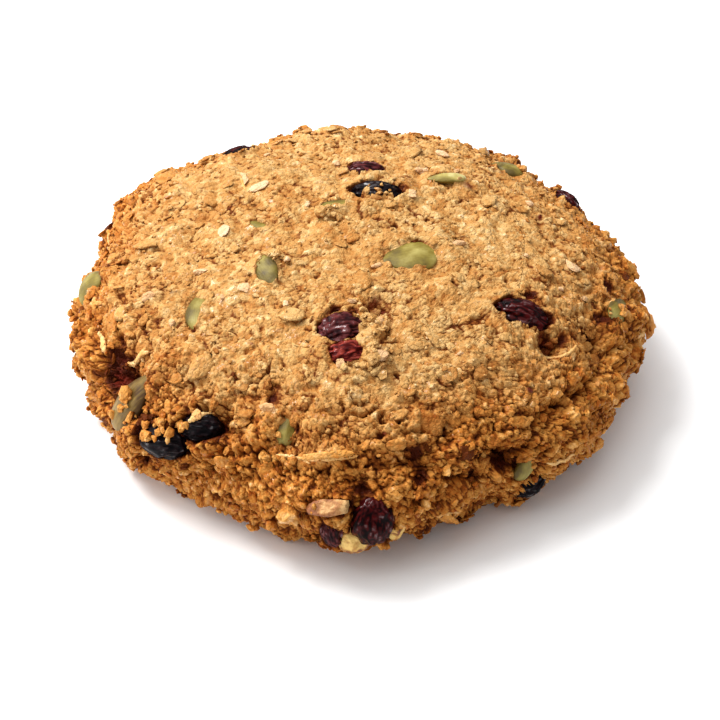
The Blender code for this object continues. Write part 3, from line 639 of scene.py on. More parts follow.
# %% The dough round the pieces
def lap_and_open(points, normals, rise, openness):
    """Lay the dough over each piece's outline, then open its window.

    Where the dough is lower than the piece's skin and a lap's thickness, it is raised to
    that; inside the window it drops by the depth of the pocket. Shade is painted into the pocket and
    round its edge.
    """
    ragged = RAGGED * soft_noise(points / RAGGED_SIZE, 91)
    for piece in PIECES:
        out, window, height = piece_numbers(points + normals * rise[:, None], piece)
        upright = np.maximum(0.5, normals @ PLACES[piece.name][:3, 2])
        lacking = np.maximum(0, piece_top(out, piece) + LAP - height) / upright
        lacking = np.where(lacking > MOST_LAP, 0, lacking)
        covered = smooth_step(-out, -1.12, -0.90)
        inside = smooth_step(-window - ragged, -1.04, -0.86) * smooth_step(-out, -1.25, -1.05)
        rise = rise + lacking * covered * (1 - inside) - POCKET[kind_of(piece)] * inside
        # painted shade in the pocket and round its edge
        edge = bell((window + ragged - 0.97) / 0.10) * smooth_step(-out, -1.25, -1.05)
        openness = openness - POCKET_SHADE[kind_of(piece)] * (inside + 0.4 * edge)
    return rise, openness


def stains(points):
    """How much berry juice has soaked in at each point, from 0 to 1."""
    wander = 1 + 0.5 * soft_noise(points / STAIN_WANDER, 103)
    soaked = np.zeros(len(points))
    for azimuth, reach, radius, strength in STAINS:
        near = smooth_step(-away_from(points, azimuth, reach) * wander, -radius, 0)
        soaked = np.maximum(soaked, strength * near)
    return soaked


def fine_crust(azimuth, reach):
    """Points and normals of the fine crust, with their painted light level, chip number and stain.
    """
    smooth, normals = smooth_crust(azimuth, reach)
    extra, openness, own = fine_relief(smooth, reach)
    rise = relief(smooth, reach) + extra * smooth_step(smooth[:, 2], 0, FLOOR_FADE)
    rise, openness = lap_and_open(smooth, normals, rise, openness)
    points = smooth + normals * rise[:, None]
    points[:, 2] = np.maximum(points[:, 2], LOWEST_SHARE * smooth[:, 2])
    return points, normals, openness, own, stains(smooth)


trial = fine_crust(np.zeros(200), trial_reach)[0]
print("fine crust is", round(1000 * float(trial[:, 2].max()), 1), "mm high on that section")

# %% [markdown]
# ## Meshes from arrays
#
# A ball drawn with rings crowds its poles. Six square grids pushed out to a ball have even
# quads everywhere, which suits both the dough and the berries, so one helper makes that
# ball and others bend it.

# %% A ball of square grids
def ball_face(axis, sign, across_count, up_count):
    """One of the six square grids of a unit ball: points and quads that face outward.

    Lines of the grid are spaced by equal angles, so every point is (sign, tan, tan) along
    the three axes, pushed out or in to length 1.
    """
    across = np.tan(np.linspace(-1, 1, across_count + 1) * math.pi / 4)
    up = np.tan(np.linspace(-1, 1, up_count + 1) * math.pi / 4)
    across, up = np.meshgrid(across, up, indexing="ij")
    side = np.zeros((across_count + 1, up_count + 1, 3))
    side[..., axis] = sign
    side[..., (axis + 1) % 3] = sign * across
    side[..., (axis + 2) % 3] = up
    index = np.arange(side[..., 0].size).reshape(across.shape)
    quads = np.stack([index[:-1, :-1], index[1:, :-1], index[1:, 1:], index[:-1, 1:]], axis=-1)
    points = side.reshape(-1, 3)
    return points / np.linalg.norm(points, axis=1)[:, None], quads.reshape(-1, 4)


def ball_grid(count):
    """Unit ball of all six grids with count quads a side: points and quads.

    Points that two grids share are merged.
    """
    points, quads = [], []
    for axis, sign in itertools.product(range(3), (1, -1)):
        side_points, side_quads = ball_face(axis, sign, count, count)
        quads.append(side_quads + sum(map(len, points)))
        points.append(side_points)
    points = np.concatenate(points)
    keys = np.round(points * 1e6).astype(np.int64)
    _, first, place_of = np.unique(keys, axis=0, return_index=True, return_inverse=True)
    return points[first], place_of.reshape(-1)[np.concatenate(quads)]


print("a ball of 6 x 6 quads a side has", len(ball_grid(6)[0]), "points")


# %% Closed wedges
def close_to_middle(points, quads, across_count, up_count, middle):
    """Close a grid to a solid wedge with a fan of triangles from its border to a middle.

    Returns the points, all faces as triangles, and which of them belong to the fan.
    """
    index = np.arange(len(points)).reshape(across_count + 1, up_count + 1)
    border = np.concatenate([index[:, 0], index[-1, 1:], index[-2::-1, -1], index[0, -2:0:-1]])
    fan = np.stack([np.roll(border, -1), border, np.full(len(border), len(points))], axis=1)
    surface = np.concatenate([quads[:, [0, 1, 2]], quads[:, [0, 2, 3]]])
    flat = np.arange(len(surface) + len(fan)) >= len(surface)
    return np.vstack([points, middle]), np.concatenate([surface, fan]), flat


wedge = close_to_middle(*ball_face(2, 1, 6, 6), 6, 6, (0, 0, 0))
print("a wedge of 6 x 6 quads has", len(wedge[1]), "faces")


# %% Meshes and dressing
def mesh_piece(name, points, faces, numbers=None, flat=None):
    """An object from point and face arrays, with named numbers on its points.

    flat says which faces are shaded flat; the others are smooth.
    """
    mesh = bpy.data.meshes.new(name)
    mesh.vertices.add(len(points))
    mesh.vertices.foreach_set("co", np.ascontiguousarray(points, np.float32).ravel())
    mesh.loops.add(faces.size)
    mesh.loops.foreach_set("vertex_index", np.ascontiguousarray(faces, np.int32).ravel())
    mesh.polygons.add(len(faces))
    mesh.polygons.foreach_set("loop_start", np.arange(0, faces.size, faces.shape[1], dtype=np.int32))
    mesh.update(calc_edges=True)
    mesh.shade_smooth()
    if flat is not None:
        mesh.polygons.foreach_set("use_smooth", ~flat)
    for key, values in (numbers or {}).items():
        layer = mesh.attributes.new(key, "FLOAT", "POINT")
        layer.data.foreach_set("value", np.ascontiguousarray(values, np.float32))
    item = bpy.data.objects.new(name, mesh)
    bpy.context.scene.collection.objects.link(item)
    print(name, len(points), "points", len(faces) * (faces.shape[1] - 2), "triangles")
    return item


def dress(item, material, slot, *nodes):
    """Give a piece its finish, let it ride on the cookie and stand for its solids."""
    item.data.materials.append(material)
    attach(item, "root")
    if nodes:
        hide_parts(*nodes)
    return item


# %% [markdown]
# ## Shader maths in Python
#
# Node trees are hard to read as a list of links. Here a wire is one output of a node, and
# adding or multiplying wires adds the Math node for it, so a mask reads as a formula.

# %% Wires
class Wire:
    """One output socket of a material's nodes, for use in Python expressions."""

    def __init__(self, recipe, socket):
        self.recipe = recipe
        self.socket = socket

    def math(self, operation, first, second):
        """A Math node on two wires or numbers."""
        return self.recipe.node("ShaderNodeMath", {"operation": operation}, {0: first, 1: second})

    def __add__(self, other):
        return self.math("ADD", self, other)

    __radd__ = __add__

    def __sub__(self, other):
        return self.math("SUBTRACT", self, other)

    def __rsub__(self, other):
        return self.math("SUBTRACT", other, self)

    def __mul__(self, other):
        return self.math("MULTIPLY", self, other)

    __rmul__ = __mul__

    def step(self, low, high):
        """0 where this wire is below low, 1 above high and smooth between."""
        return self.recipe.node("ShaderNodeMapRange", {"interpolation_type": "SMOOTHSTEP"},
                                {"Value": self, "From Min": low, "From Max": high})


print("a wire knows", *[name for name in vars(Wire) if name.startswith("__r")])


# %% Recipes
class Recipe:
    """A material in the making: its Principled BSDF and the nodes that feed it."""

    def __init__(self, name):
        self.material = bpy.data.materials.new(name)
        self.material.use_nodes = True
        self.tree = self.material.node_tree
        self.shader = self.tree.nodes["Principled BSDF"]
        self.place = self.node("ShaderNodeTexCoord", output="Object")

    def node(self, kind, settings=None, inputs=None, output=0):
        """Add a node, set its settings, then fill or link its sockets; returns one output."""
        made = self.tree.nodes.new(kind)
        for key, value in (settings or {}).items():
            if key == "stops":
                fill_ramp(made.color_ramp, value)
            else:
                setattr(made, key, value)
        for key, value in (inputs or {}).items():
            self.feed(made.inputs[key], value)
        return Wire(self, made.outputs[output])

    def feed(self, socket, value):
        """Link a wire to a socket, or set the socket's own value."""
        if isinstance(value, Wire):
            self.tree.links.new(value.socket, socket)
        else:
            socket.default_value = value

    def finish(self, **inputs):
        """Feed the Principled BSDF; an underscore in a key stands for a space."""
        for key, value in inputs.items():
            self.feed(self.shader.inputs[key.replace("_", " ")], value)
        return self.material

    def mix(self, share, first, second, blend="MIX"):
        """Blend two colours by a share from 0 to 1."""
        return self.node("ShaderNodeMix", {"data_type": "RGBA", "blend_type": blend},
                         {0: share, 6: first, 7: second}, 2)

    def ramp(self, value, *stops):
        """A colour ramp of (position, colour) stops."""
        return self.node("ShaderNodeValToRGB", {"stops": stops}, {"Fac": value})

    def noise(self, size, detail=3, where=None):
        """Noise with bumps of this size in metres, about 0 to 1."""
        return self.node("ShaderNodeTexNoise", inputs={"Vector": where or self.place,
                                                       "Scale": 1 / size, "Detail": detail})

    def push(self, amount, size):
        """Object coordinates pushed about by noise, so that patterns on them get uneven."""
        noise = self.node("ShaderNodeTexNoise", inputs={"Vector": self.place, "Scale": 1 / size},
                          output=1)
        centred = self.node("ShaderNodeVectorMath", {"operation": "SUBTRACT"},
                            {0: noise, 1: (0.5, 0.5, 0.5)})
        return self.node("ShaderNodeVectorMath", {"operation": "MULTIPLY_ADD"},
                         {0: centred, 1: (amount, amount, amount), 2: self.place})

    def cell_edge(self, size, where=None):
        """How far inside its cell a point lies, 0 on the line between two cells."""
        return self.node("ShaderNodeTexVoronoi", {"feature": "DISTANCE_TO_EDGE"},
                         {"Vector": where or self.place, "Scale": 1 / size})

    def stored(self, key):
        """A number kept on the mesh's points."""
        return self.node("ShaderNodeAttribute", {"attribute_name": key}, output="Fac")

    def bump(self, height, depth, strength=1.0):
        """A normal bent by a height from 0 to 1 that stands for this depth in metres."""
        return self.node("ShaderNodeBump", inputs={"Height": height, "Distance": depth,
                                                   "Strength": strength})


# %% Ramps and paints
def fill_ramp(ramp, stops):
    """Replace a colour ramp's stops."""
    while len(ramp.elements) > 1:
        ramp.elements.remove(ramp.elements[-1])
    ramp.elements[0].position, ramp.elements[0].color = stops[0]
    for position, colour in stops[1:]:
        ramp.elements.new(position).color = colour


def paint(red, green, blue):
    """A colour given as it looks on screen, 0 to 255, as the linear light shaders use."""
    shares = np.array([red, green, blue]) / 255
    light = np.where(shares <= 0.04045, shares / 12.92, ((shares + 0.055) / 1.055) ** 2.4)
    return (*map(float, light), 1.0)


print("gold in linear light is", [round(part, 2) for part in paint(193, 146, 85)[:3]])

# %% [markdown]
# ## Baked dough
#
# The crust is gold on its open crowns, painted paler there as light, and red-brown deep in
# the grooves, painted dark there as shade. The side, which met the hot tray, is browner than
# the top, and that browning also serves as painted shade of the lower side. Every grain also
# differs a little. So the colour starts from each grain's own number, then goes darker with
# the painted shade of depth and with reach.

# %% Baked dough finish
CREAM = paint(232, 204, 158)
PALE = paint(208, 170, 112)
GOLD = paint(193, 146, 85)
TAN = paint(175, 119, 59)
BROWN = paint(146, 84, 32)
# the side's colour is multiplied by this: browning from the hot tray, and painted shade of the lower
# side
SIDE_BROWN_AND_SHADE = paint(254, 218, 166)        # what the side's colour is multiplied by
# painted shade in the grooves and in the thin cracks between chips
GROOVE_SHADE = paint(108, 52, 12)
# painted shade at the bottom of holes and pockets
DEEP_SHADE = paint(58, 14, 4)                 # at the bottom of holes and pockets
JUICE = paint(96, 26, 10)
PATCH_SIZE, FLECK_SIZE = 0.011, 0.0009  # paler patches, and flecks within a chip
NET_SIZE, FINE_NET_SIZE = 0.0011, 0.0006
DOUGH_BUMP = 0.00011


def baked(name, stops, groove_shade_share=1.0):
    """Baked oat dough: a ramp over each chip's number, paler on the crowns as painted light,
    browner down the side as baked colour and painted shade, and dark in grooves as painted shade.

    Two nets of thin cracks, finer than the mesh, add the last of the crumb: they bump the surface
    and paint shade into the cracks.
    """
    recipe = Recipe(name)
    own = recipe.stored("own")
    openness = recipe.stored("openness")
    side = recipe.stored("side") + 0.7 * (recipe.noise(0.006, 3) - 0.5)
    patches = 0.3 * (recipe.noise(PATCH_SIZE, 4) - 0.5)
    flecks = (0.8 + 0.6 * side) * (recipe.noise(FLECK_SIZE, 2) - 0.5)
    # painted light on open crowns and painted shade in grooves, both stronger down the side
    painted_crown_light = (0.35 + 0.8 * side) * (openness - 0.55)
    colour = recipe.ramp(0.24 + 0.5 * own + patches + flecks + painted_crown_light, *stops)
    # browner down the side: baked colour, and painted shade of the lower side
    colour = recipe.mix(side.step(-0.1, 0.6), colour, SIDE_BROWN_AND_SHADE, "MULTIPLY")
    pushed = recipe.push(0.0005, 0.0009)
    net = recipe.cell_edge(NET_SIZE, pushed)
    fine_net = recipe.cell_edge(FINE_NET_SIZE, pushed)
    # painted shade in the grooves, where the painted light level is low, and in two nets of thin
    # cracks
    crack_shade_lines = (1 - net.step(0.0, 0.12)) + 0.5 * (1 - fine_net.step(0.0, 0.14))
    groove = 1 - openness.step(0.08, 0.52) + 0.24 * crack_shade_lines
    colour = recipe.mix(groove_shade_share * groove.step(0.0, 1.1), colour, GROOVE_SHADE)
    # painted shade at the bottom of holes and pockets
    colour = recipe.mix(0.9 * (1 - openness.step(-0.12, 0.24)), colour, DEEP_SHADE)
    colour = recipe.mix(recipe.stored("stain").step(0.1, 0.8), colour, JUICE)
    height = recipe.noise(0.00035, 3) + 1.2 * net.step(0.0, 0.3) + 0.7 * fine_net.step(0.0, 0.3)
    glints = openness.step(0.50, 0.80) * recipe.noise(0.0008, 2).step(0.45, 0.65)
    return recipe.finish(Base_Color=colour, Roughness=0.62 - 0.20 * recipe.noise(0.0007, 1),
                         Specular_IOR_Level=0.06, Coat_Weight=0.9 * glints, Coat_Roughness=0.24,
                         Normal=recipe.bump(height, DOUGH_BUMP, 0.8))


DOUGH_STOPS = ((0.0, BROWN), (0.2, TAN), (0.5, GOLD), (0.80, PALE), (0.95, CREAM))
dough_finish = baked("baked_dough", DOUGH_STOPS)
print(dough_finish.name, "has", len(dough_finish.node_tree.nodes), "nodes")

# %% [markdown]
# One mesh may have 200,000 triangles, which is too few to show grains all over the crust.
# So the dough is drawn as six closed wedges that meet at its middle: one for each square
# grid of a ball. The ball's polar angle becomes reach so that every quad covers about the
# same area of crust. The underside is pressed smooth, with a few small pits where air was
# caught against the tray, so its wedge is coarse.

# %% The dough
TOP_QUADS = 310
SIDE_QUADS_UP = 236
UNDERSIDE_QUADS = 40
BASE_WEIGHT = 0.24          # share of the ball's area that becomes the flat underside
UNDERSIDE_PIT = 0.0005      # depth of the pits in the underside
UNDERSIDE_PIT_SIZE = 0.0024
DOUGH_MIDDLE = (0, 0, 0.012)


def dough_surface(axis, sign, across_count, up_count):
    """Points, faces, stored numbers and flat faces of one wedge of the dough.

    The share of the ball's area above a point, (1 - cos of its polar angle) / 2, is set
    equal to the share of the crust's area above the same point; what is left maps to the
    underside as rings that shrink to its middle.
    """
    ball, quads = ball_face(axis, sign, across_count, up_count)
    above = (1 - ball[:, 2]) / 2
    azimuth = np.arctan2(ball[:, 1], ball[:, 0])
    crust_share = AREA_ABOVE / AREA_ABOVE[-1] * (1 - BASE_WEIGHT)
    reach = np.interp(above, crust_share, REACH)
    points, normals, openness, own, stain = fine_crust(azimuth, reach)
    under = above >= 1 - BASE_WEIGHT
    inward = np.sqrt(np.clip((1 - above[under]) / BASE_WEIGHT, 0, 1))
    points[under, :2] *= inward[:, None]
    pit, _, pit_own, _ = grains(points[under] / UNDERSIDE_PIT_SIZE, 97)
    away_from_rim = smooth_step(-inward, -0.76, -0.66)
    points[under, 2] = UNDERSIDE_PIT * smooth_step(1 - pit, 0.3, 1) * away_from_rim
    # painted shade in the underside's small pits
    openness[under] = 0.35 + 0.3 * pit
    own[under] = 0.25 + 0.3 * pit_own
    side = browning_and_shade(reach)
    points, faces, flat = close_to_middle(points, quads, across_count, up_count, DOUGH_MIDDLE)
    numbers = {"openness": openness, "own": own, "side": side, "stain": stain}
    numbers = {key: np.append(values, 0) for key, values in numbers.items()}
    return points, faces, numbers, flat


DOUGH_WEDGES = {
    "dough_top": (2, 1, TOP_QUADS, TOP_QUADS),
    "dough_right": (0, 1, TOP_QUADS, SIDE_QUADS_UP),
    "dough_left": (0, -1, TOP_QUADS, SIDE_QUADS_UP),
    "dough_back": (1, 1, SIDE_QUADS_UP, TOP_QUADS),
    "dough_front": (1, -1, SIDE_QUADS_UP, TOP_QUADS),
    "dough_underside": (2, -1, UNDERSIDE_QUADS, UNDERSIDE_QUADS),
}


def dough_piece(name, finish, *arrays):
    """A piece of baked dough from arrays of points, faces, numbers and flat faces."""
    return dress(mesh_piece(name, *arrays), finish, "baked_oat_dough", "cookie")


for name, grid in DOUGH_WEDGES.items():
    dough_piece(name, dough_finish, *dough_surface(*grid))

# %% [markdown]
# ## Scattered crumbs
#
# Loose crumbs cling all over the crust. A particle system would be quick, but it would not
# be kept in the exported mesh, so all crumbs of one kind are one mesh: a small angular ball
# copied as arrays, each copy stretched, turned and set at its own place.

# %% Places for crumbs
BARE = ("cranberry_front",)     # stands out too far for crumbs to rest on
GOLDEN_ANGLE = math.pi * (3 - math.sqrt(5))


def spread(count, seed, low=0.0):
    """Azimuth and reach of places spread evenly over the crust from reach low down.

    The golden angle turns from one place to the next and equal areas lead down the crust;
    a seeded draw, returned as well, then moves each a little.
    """
    draw = np.random.default_rng(seed)
    areas = np.interp([low, 1], REACH, AREA_ABOVE)
    share = np.clip((np.arange(count) + draw.uniform(0, 1, count)) / count, 0, 1)
    reach = np.interp(areas[0] + share * (areas[1] - areas[0]), AREA_ABOVE, REACH)
    spacing = math.sqrt((areas[1] - areas[0]) / count)
    azimuth = np.arange(count) * GOLDEN_ANGLE + draw.normal(0, spacing, count) / MEAN_RADIUS
    reach = np.clip(reach + draw.normal(0, 0.6 * spacing, count) / SECTION_LENGTH, 0.002, 0.985)
    return azimuth, reach, draw


def keep_clear(azimuth, reach, margin):
    """True for places outside every piece's window, by a margin of its own half size, and
    off the whole of a bare piece."""
    points = smooth_crust(azimuth, reach)[0]
    clear = np.ones(len(points), bool)
    for piece in PIECES:
        out, window, _ = piece_numbers(points, piece)
        clear &= (window > margin) & (piece.name not in BARE) | (out > margin + 0.1)
    return clear


places = spread(1000, 1)[:2]
print(keep_clear(*places, 1).sum(), "of 1000 places are clear of the pieces")

# %% Where a crumb rests
def resting_places(azimuth, reach):
    """Points where a crumb rests, on the dough or on a piece's bare skin, with normals, the
    dough's painted light level there and how stained it is."""
    points, normals, openness, _, stain = fine_crust(azimuth, reach)
    for piece in PIECES:
        out, _, height = piece_numbers(points, piece)
        lacking = np.where(out < 1, np.maximum(0, piece_top(out, piece) - height), 0)
        points = points + normals * lacking[:, None]
        # on a piece's bare skin the painted light level is an even middle one
        openness = np.where(lacking > 0, 0.6, openness)
        stain = np.where(lacking > 0, 0, stain)
    return points, normals, np.clip(openness, 0, 1), stain


print("crumbs rest up to", round(1000 * float(resting_places(*places)[0][:, 2].max()), 1), "mm up")


# %% Copies as arrays
def template(divisions):
    """A ball of equal triangles: its points and faces as arrays."""
    shape = bmesh.new()
    bmesh.ops.create_icosphere(shape, subdivisions=divisions, radius=1)
    points = np.array([vertex.co for vertex in shape.verts])
    faces = np.array([[vertex.index for vertex in face.verts] for face in shape.faces])
    shape.free()
    return points, faces


def turned_frames(azimuth, normals, spin, tilt):
    """One turn for each place: level and uphill spun about the normal, then tilted."""
    level = np.stack([-np.sin(azimuth), np.cos(azimuth), np.zeros(len(azimuth))], axis=1)
    uphill = np.cross(normals, level)
    first = level * np.cos(spin)[:, None] + uphill * np.sin(spin)[:, None]
    second = uphill * np.cos(spin)[:, None] - level * np.sin(spin)[:, None]
    lifted = second * np.cos(tilt)[:, None] + normals * np.sin(tilt)[:, None]
    top = normals * np.cos(tilt)[:, None] - second * np.sin(tilt)[:, None]
    return np.stack([first, lifted, top], axis=2)


def copies(shape, centres, turns, sizes):
    """Copies of a shape as arrays: each scaled by its three sizes, turned and moved.

    shape is (points, faces), and its points may differ from copy to copy.
    """
    points, faces = shape
    placed = np.einsum("nij,nkj->nki", turns, points * sizes[:, None, :]) + centres[:, None, :]
    offsets = np.arange(len(centres))[:, None, None] * points.shape[-2]
    return placed.reshape(-1, 3), (faces[None] + offsets).reshape(-1, faces.shape[1])


def per_copy(each, **numbers):
    """Numbers that are the same all over each copy, repeated for every one of its points."""
    return {key: np.repeat(values, each) for key, values in numbers.items()}


print("crumbs have", *[len(template(divisions)[1]) for divisions in (1, 2)], "faces")

# %% A piece of crumbs
CRUMB_SPREAD = 0.32         # spread of the logarithm of a crumb's size
CRUMB_UNEVEN = (0.62, 1.30) # how far in and out a crumb's corners lie
CRUMB_PROUD = 0.25          # how far a crumb's middle stands out, in radii


def crumb_piece(name, azimuth, reach, radius, finish, draw, divisions=1):
    """Crumbs of one kind as one mesh: angular, flattened balls half sunk in the crust."""
    total = len(azimuth)
    points, normals, openness, stain = resting_places(azimuth, reach)
    side = browning_and_shade(reach)
    size = radius * np.exp(draw.normal(0, CRUMB_SPREAD, total)) * (1 + 0.35 * side)
    sizes = size[:, None] * draw.uniform((0.9, 0.7, 0.5), (1.4, 1.1, 0.9), (total, 3))
    ball, faces = template(divisions)
    uneven = ball[None] * draw.uniform(*CRUMB_UNEVEN, (total, len(ball), 1))
    spin = draw.uniform(0, 2 * math.pi, total)
    turns = turned_frames(azimuth, normals, spin, draw.normal(0, 0.45, total))
    centres = points + normals * (CRUMB_PROUD * size)[:, None]
    centres[:, 2] = np.maximum(centres[:, 2], 1.3 * size)
    placed, all_faces = copies((uneven, faces), centres, turns, sizes)
    from_crust = placed.reshape(total, -1, 3) - points[:, None, :]
    height = np.einsum("nk,nvk->nv", normals, from_crust) / size[:, None]
    # painted shade at each crumb's foot, and more on crumbs that lie in the crust's painted shade
    crust_shade = np.clip(1.8 * openness, 0.1, 1)[:, None]
    numbers = per_copy(len(ball), own=draw.uniform(0, 1, total), side=side, stain=stain)
    numbers["openness"] = (np.clip(0.30 + 0.45 * height, 0, 1) * crust_shade).ravel()
    angular = np.ones(len(all_faces), bool)
    return dough_piece(name, finish, placed, all_faces, numbers, angular)


def scattered_crumbs(name, count, seed, radius, finish, low=0.0, margin=1.02, divisions=1):
    """Crumbs spread evenly over the crust from reach low down, outside the windows."""
    azimuth, reach, draw = spread(count, seed, low)
    keep = keep_clear(azimuth, reach, margin)
    return crumb_piece(name, azimuth[keep], reach[keep], radius, finish, draw, divisions)


# %% Crumbs
pale_finish = baked("pale_crumb", ((0.0, TAN), (0.3, GOLD), (0.7, PALE), (1.0, CREAM)))
toasted_finish = baked("toasted_crumb", ((0.0, BROWN), (0.5, TAN), (1.0, GOLD)))
scattered_crumbs("crumbs_gold", 900, 101, 0.00027, dough_finish)
scattered_crumbs("crumbs_side", 1300, 111, 0.00030, dough_finish, low=0.48)
scattered_crumbs("crumbs_pale", 600, 103, 0.00025, pale_finish)
scattered_crumbs("crumbs_toasted", 500, 107, 0.00032, toasted_finish, low=0.45)
scattered_crumbs("clods_side", 220, 109, 0.00060, dough_finish, low=0.60, margin=1.25, divisions=2)

# %% [markdown]
# Some crumbs stuck to the berries as the dough was mixed. They lie in small heaps, each
# spread round its own place like drops round a spout: the distance follows a bell curve.

# %% Crumbs on the berries
# azimuth, reach, spread in mm, how many crumbs
HEAPS = (
    (-128.5, 0.738, 0.9, 14), (-131, 0.765, 0.5, 7), (-134, 0.735, 1, 16), (-126, 0.715, 0.7, 8),
    (-82.5, 0.322, 1.2, 22), (-87, 0.288, 0.8, 8), (-81, 0.362, 1, 16), (-87, 0.456, 1.1, 18),
    (-83, 0.436, 1, 14), (-35, 0.575, 0.8, 8), (66, 0.15, 0.9, 10), (-141.5, 0.742, 1.7, 9),
    (-139.5, 0.765, 0.9, 6), (138, 0.085, 1.6, 14), (-150, 0.235, 1, 8), (43, 0.59, 1.6, 6),
    (-13, 0.69, 1, 8),
)


def heap_places(seed):
    """Azimuth and reach of all crumbs in the heaps."""
    draw = np.random.default_rng(seed)
    heaps = np.repeat(np.array(HEAPS)[:, :3], [heap[3] for heap in HEAPS], axis=0)
    azimuth, reach, wide = np.radians(heaps[:, 0]), heaps[:, 1], heaps[:, 2] / 1000
    radius = MEAN_RADIUS * np.interp(reach, REACH, RADIUS_SHARE)
    azimuth = azimuth + draw.normal(0, 1, len(wide)) * wide / radius
    return azimuth, reach + draw.normal(0, 0.8, len(wide)) * wide / SECTION_LENGTH


heap_draw = np.random.default_rng(139)
crumb_piece("crumbs_on_berries", *heap_places(137), 0.00052, pale_finish, heap_draw)

# %% [markdown]
# ## Oat flakes
#
# A rolled oat is a thin oval with a crease down its middle and curled edges. The solids
# carry the largest ones, and the same rule puts these at the same places, with smaller ones
# between them.

# %% Places of the large flakes
# azimuth, reach, length, width and thickness in mm, spin, roll
SHOWN_FLAKES = in_metres((2, 3, 4), (
    (-109, 0.604, 2.4, 2.2, 1.8, 20, 20), (-106.5, 0.63, 3, 2, 1.4, 70, 25),
    (-159.5, 0.539, 4, 2.6, 1.2, 60, 12), (139.5, 0.36, 4, 2, 1, 70, 30),
    (141, 0.302, 3.4, 3, 1, 20, 12), (177, 0.329, 3.4, 2.6, 1, 0, 14),
    (-136.5, 0.328, 3.4, 2.6, 1.2, 0, 16), (-9.5, 0.257, 3.6, 1.6, 1.2, 110, 10),
    (-7.5, 0.539, 3.4, 2.8, 1.2, 60, 14), (58.5, 0.326, 3.6, 2.6, 1.2, 0, 10),
    (-90.5, 0.447, 5, 3, 1.6, 12, 10), (-85, 0.436, 4, 2.6, 1.6, -20, 18),
    (-104, 0.694, 8.6, 1.3, 1.2, 10, 0), (-95, 0.668, 9, 1.3, 1.2, 8, 0),
    (-58.5, 0.965, 4.6, 2.2, 1.4, 96, 30), (-70, 0.935, 4.4, 2.2, 1.4, 84, 30),
    (-6.5, 0.806, 4.8, 2.6, 1.4, 30, 40), (-19, 0.85, 4.6, 2.8, 1.4, 20, 36),
    (-34, 0.89, 4.4, 2.6, 1.4, 10, 34), (-116, 0.965, 4.2, 2.4, 1.4, 14, 30),
))
SCATTER_COUNT = 54
SCATTER_SEED = 7
FLAKE_LENGTH = (0.0034, 0.0060)
FLAKE_SLIMNESS = (0.50, 0.80)
FLAKE_THICKNESS = 0.0012
FLAKE_CLEARANCE = 0.0008
SHOWN_SHARE = 0.5           # share of its length by which a shown flake keeps clear


def solid_flakes():
    """The flakes that the solids carry, as two arrays: the shown ones, and those spread by
    the golden angle with the same seeded draw, without any that would touch a set-in piece."""
    middles = [PLACES[piece.name][:3, 3] for piece in PIECES]

    def is_clear(azimuth, reach, length):
        spot = crust(np.radians([azimuth]), np.array([reach]))[0][0]
        gaps = [np.linalg.norm(spot - middle) - (length + piece.length) / 2
                for middle, piece in zip(middles, PIECES)]
        return min(gaps) >= FLAKE_CLEARANCE

    shown = [flake for flake in SHOWN_FLAKES if is_clear(*flake[:2], SHOWN_SHARE * flake[2])]
    scattered = []
    draw = np.random.default_rng(SCATTER_SEED)
    ring_area = np.cumsum(RADIUS_SHARE[1:] * np.diff(REACH))
    for count in range(SCATTER_COUNT):
        share = (count + 0.5) / SCATTER_COUNT
        reach = float(np.interp(share * ring_area[-1], ring_area, REACH[1:]))
        reach = min(0.97, max(0.03, reach + draw.uniform(-0.012, 0.012)))
        azimuth = count * math.degrees(GOLDEN_ANGLE) % 360 + draw.uniform(-4, 4)
        length = draw.uniform(*FLAKE_LENGTH)
        width = length * draw.uniform(*FLAKE_SLIMNESS)
        tilt = draw.uniform(8, 18) + 22 * float(smooth_step(reach, SIDE_START, SIDE_FULL))
        spin = draw.uniform(0, 360)
        if is_clear(azimuth, reach, length):
            scattered.append((azimuth, reach, length, width, FLAKE_THICKNESS, spin, tilt))
    return np.array(shown), np.array(scattered)


shown_rows, scattered_rows = solid_flakes()
print(len(shown_rows), "flakes shown and", len(scattered_rows), "scattered")

# %% Flakes
FLAKE_PROUD = 0.25          # share of its thickness by which a flake's middle stands out
FLAKE_STAIN = 0.4           # share of the dough's juice that a flake takes up
CHUNK_SIDES, CHUNK_CUT = 6, 0.5     # flat sides of a chip, and how far from its middle


def flake_shape(total, draw):
    """Thin ovals of 80 triangles, one for each flake: curled up at the ends, creased along
    the middle, with an uneven edge."""
    ball, faces = template(2)
    points = np.repeat(ball[None], total, axis=0)
    edge = draw.uniform(0.74, 1.12, (total, len(ball)))
    points[..., :2] *= edge[..., None]
    curl = draw.uniform(-0.5, 0.9, (total, 1))
    points[..., 2] += curl * points[..., 0] ** 2 - 0.6 * bell(points[..., 1] / 0.22)
    return points, faces


def chunk_shape(total, draw):
    """Broken bits of 80 triangles: a ball cut back by six flat sides, each its own way."""
    ball, faces = template(2)
    points = np.repeat(ball[None], total, axis=0)
    for _ in range(CHUNK_SIDES):
        flat = draw.normal(size=(total, 1, 3))
        flat /= np.linalg.norm(flat, axis=2, keepdims=True)
        over = np.maximum((points * flat).sum(axis=2), CHUNK_CUT)
        points = points * (CHUNK_CUT / over)[..., None]
    return points * draw.uniform(0.95, 1.35, (total, 1, 1)), faces


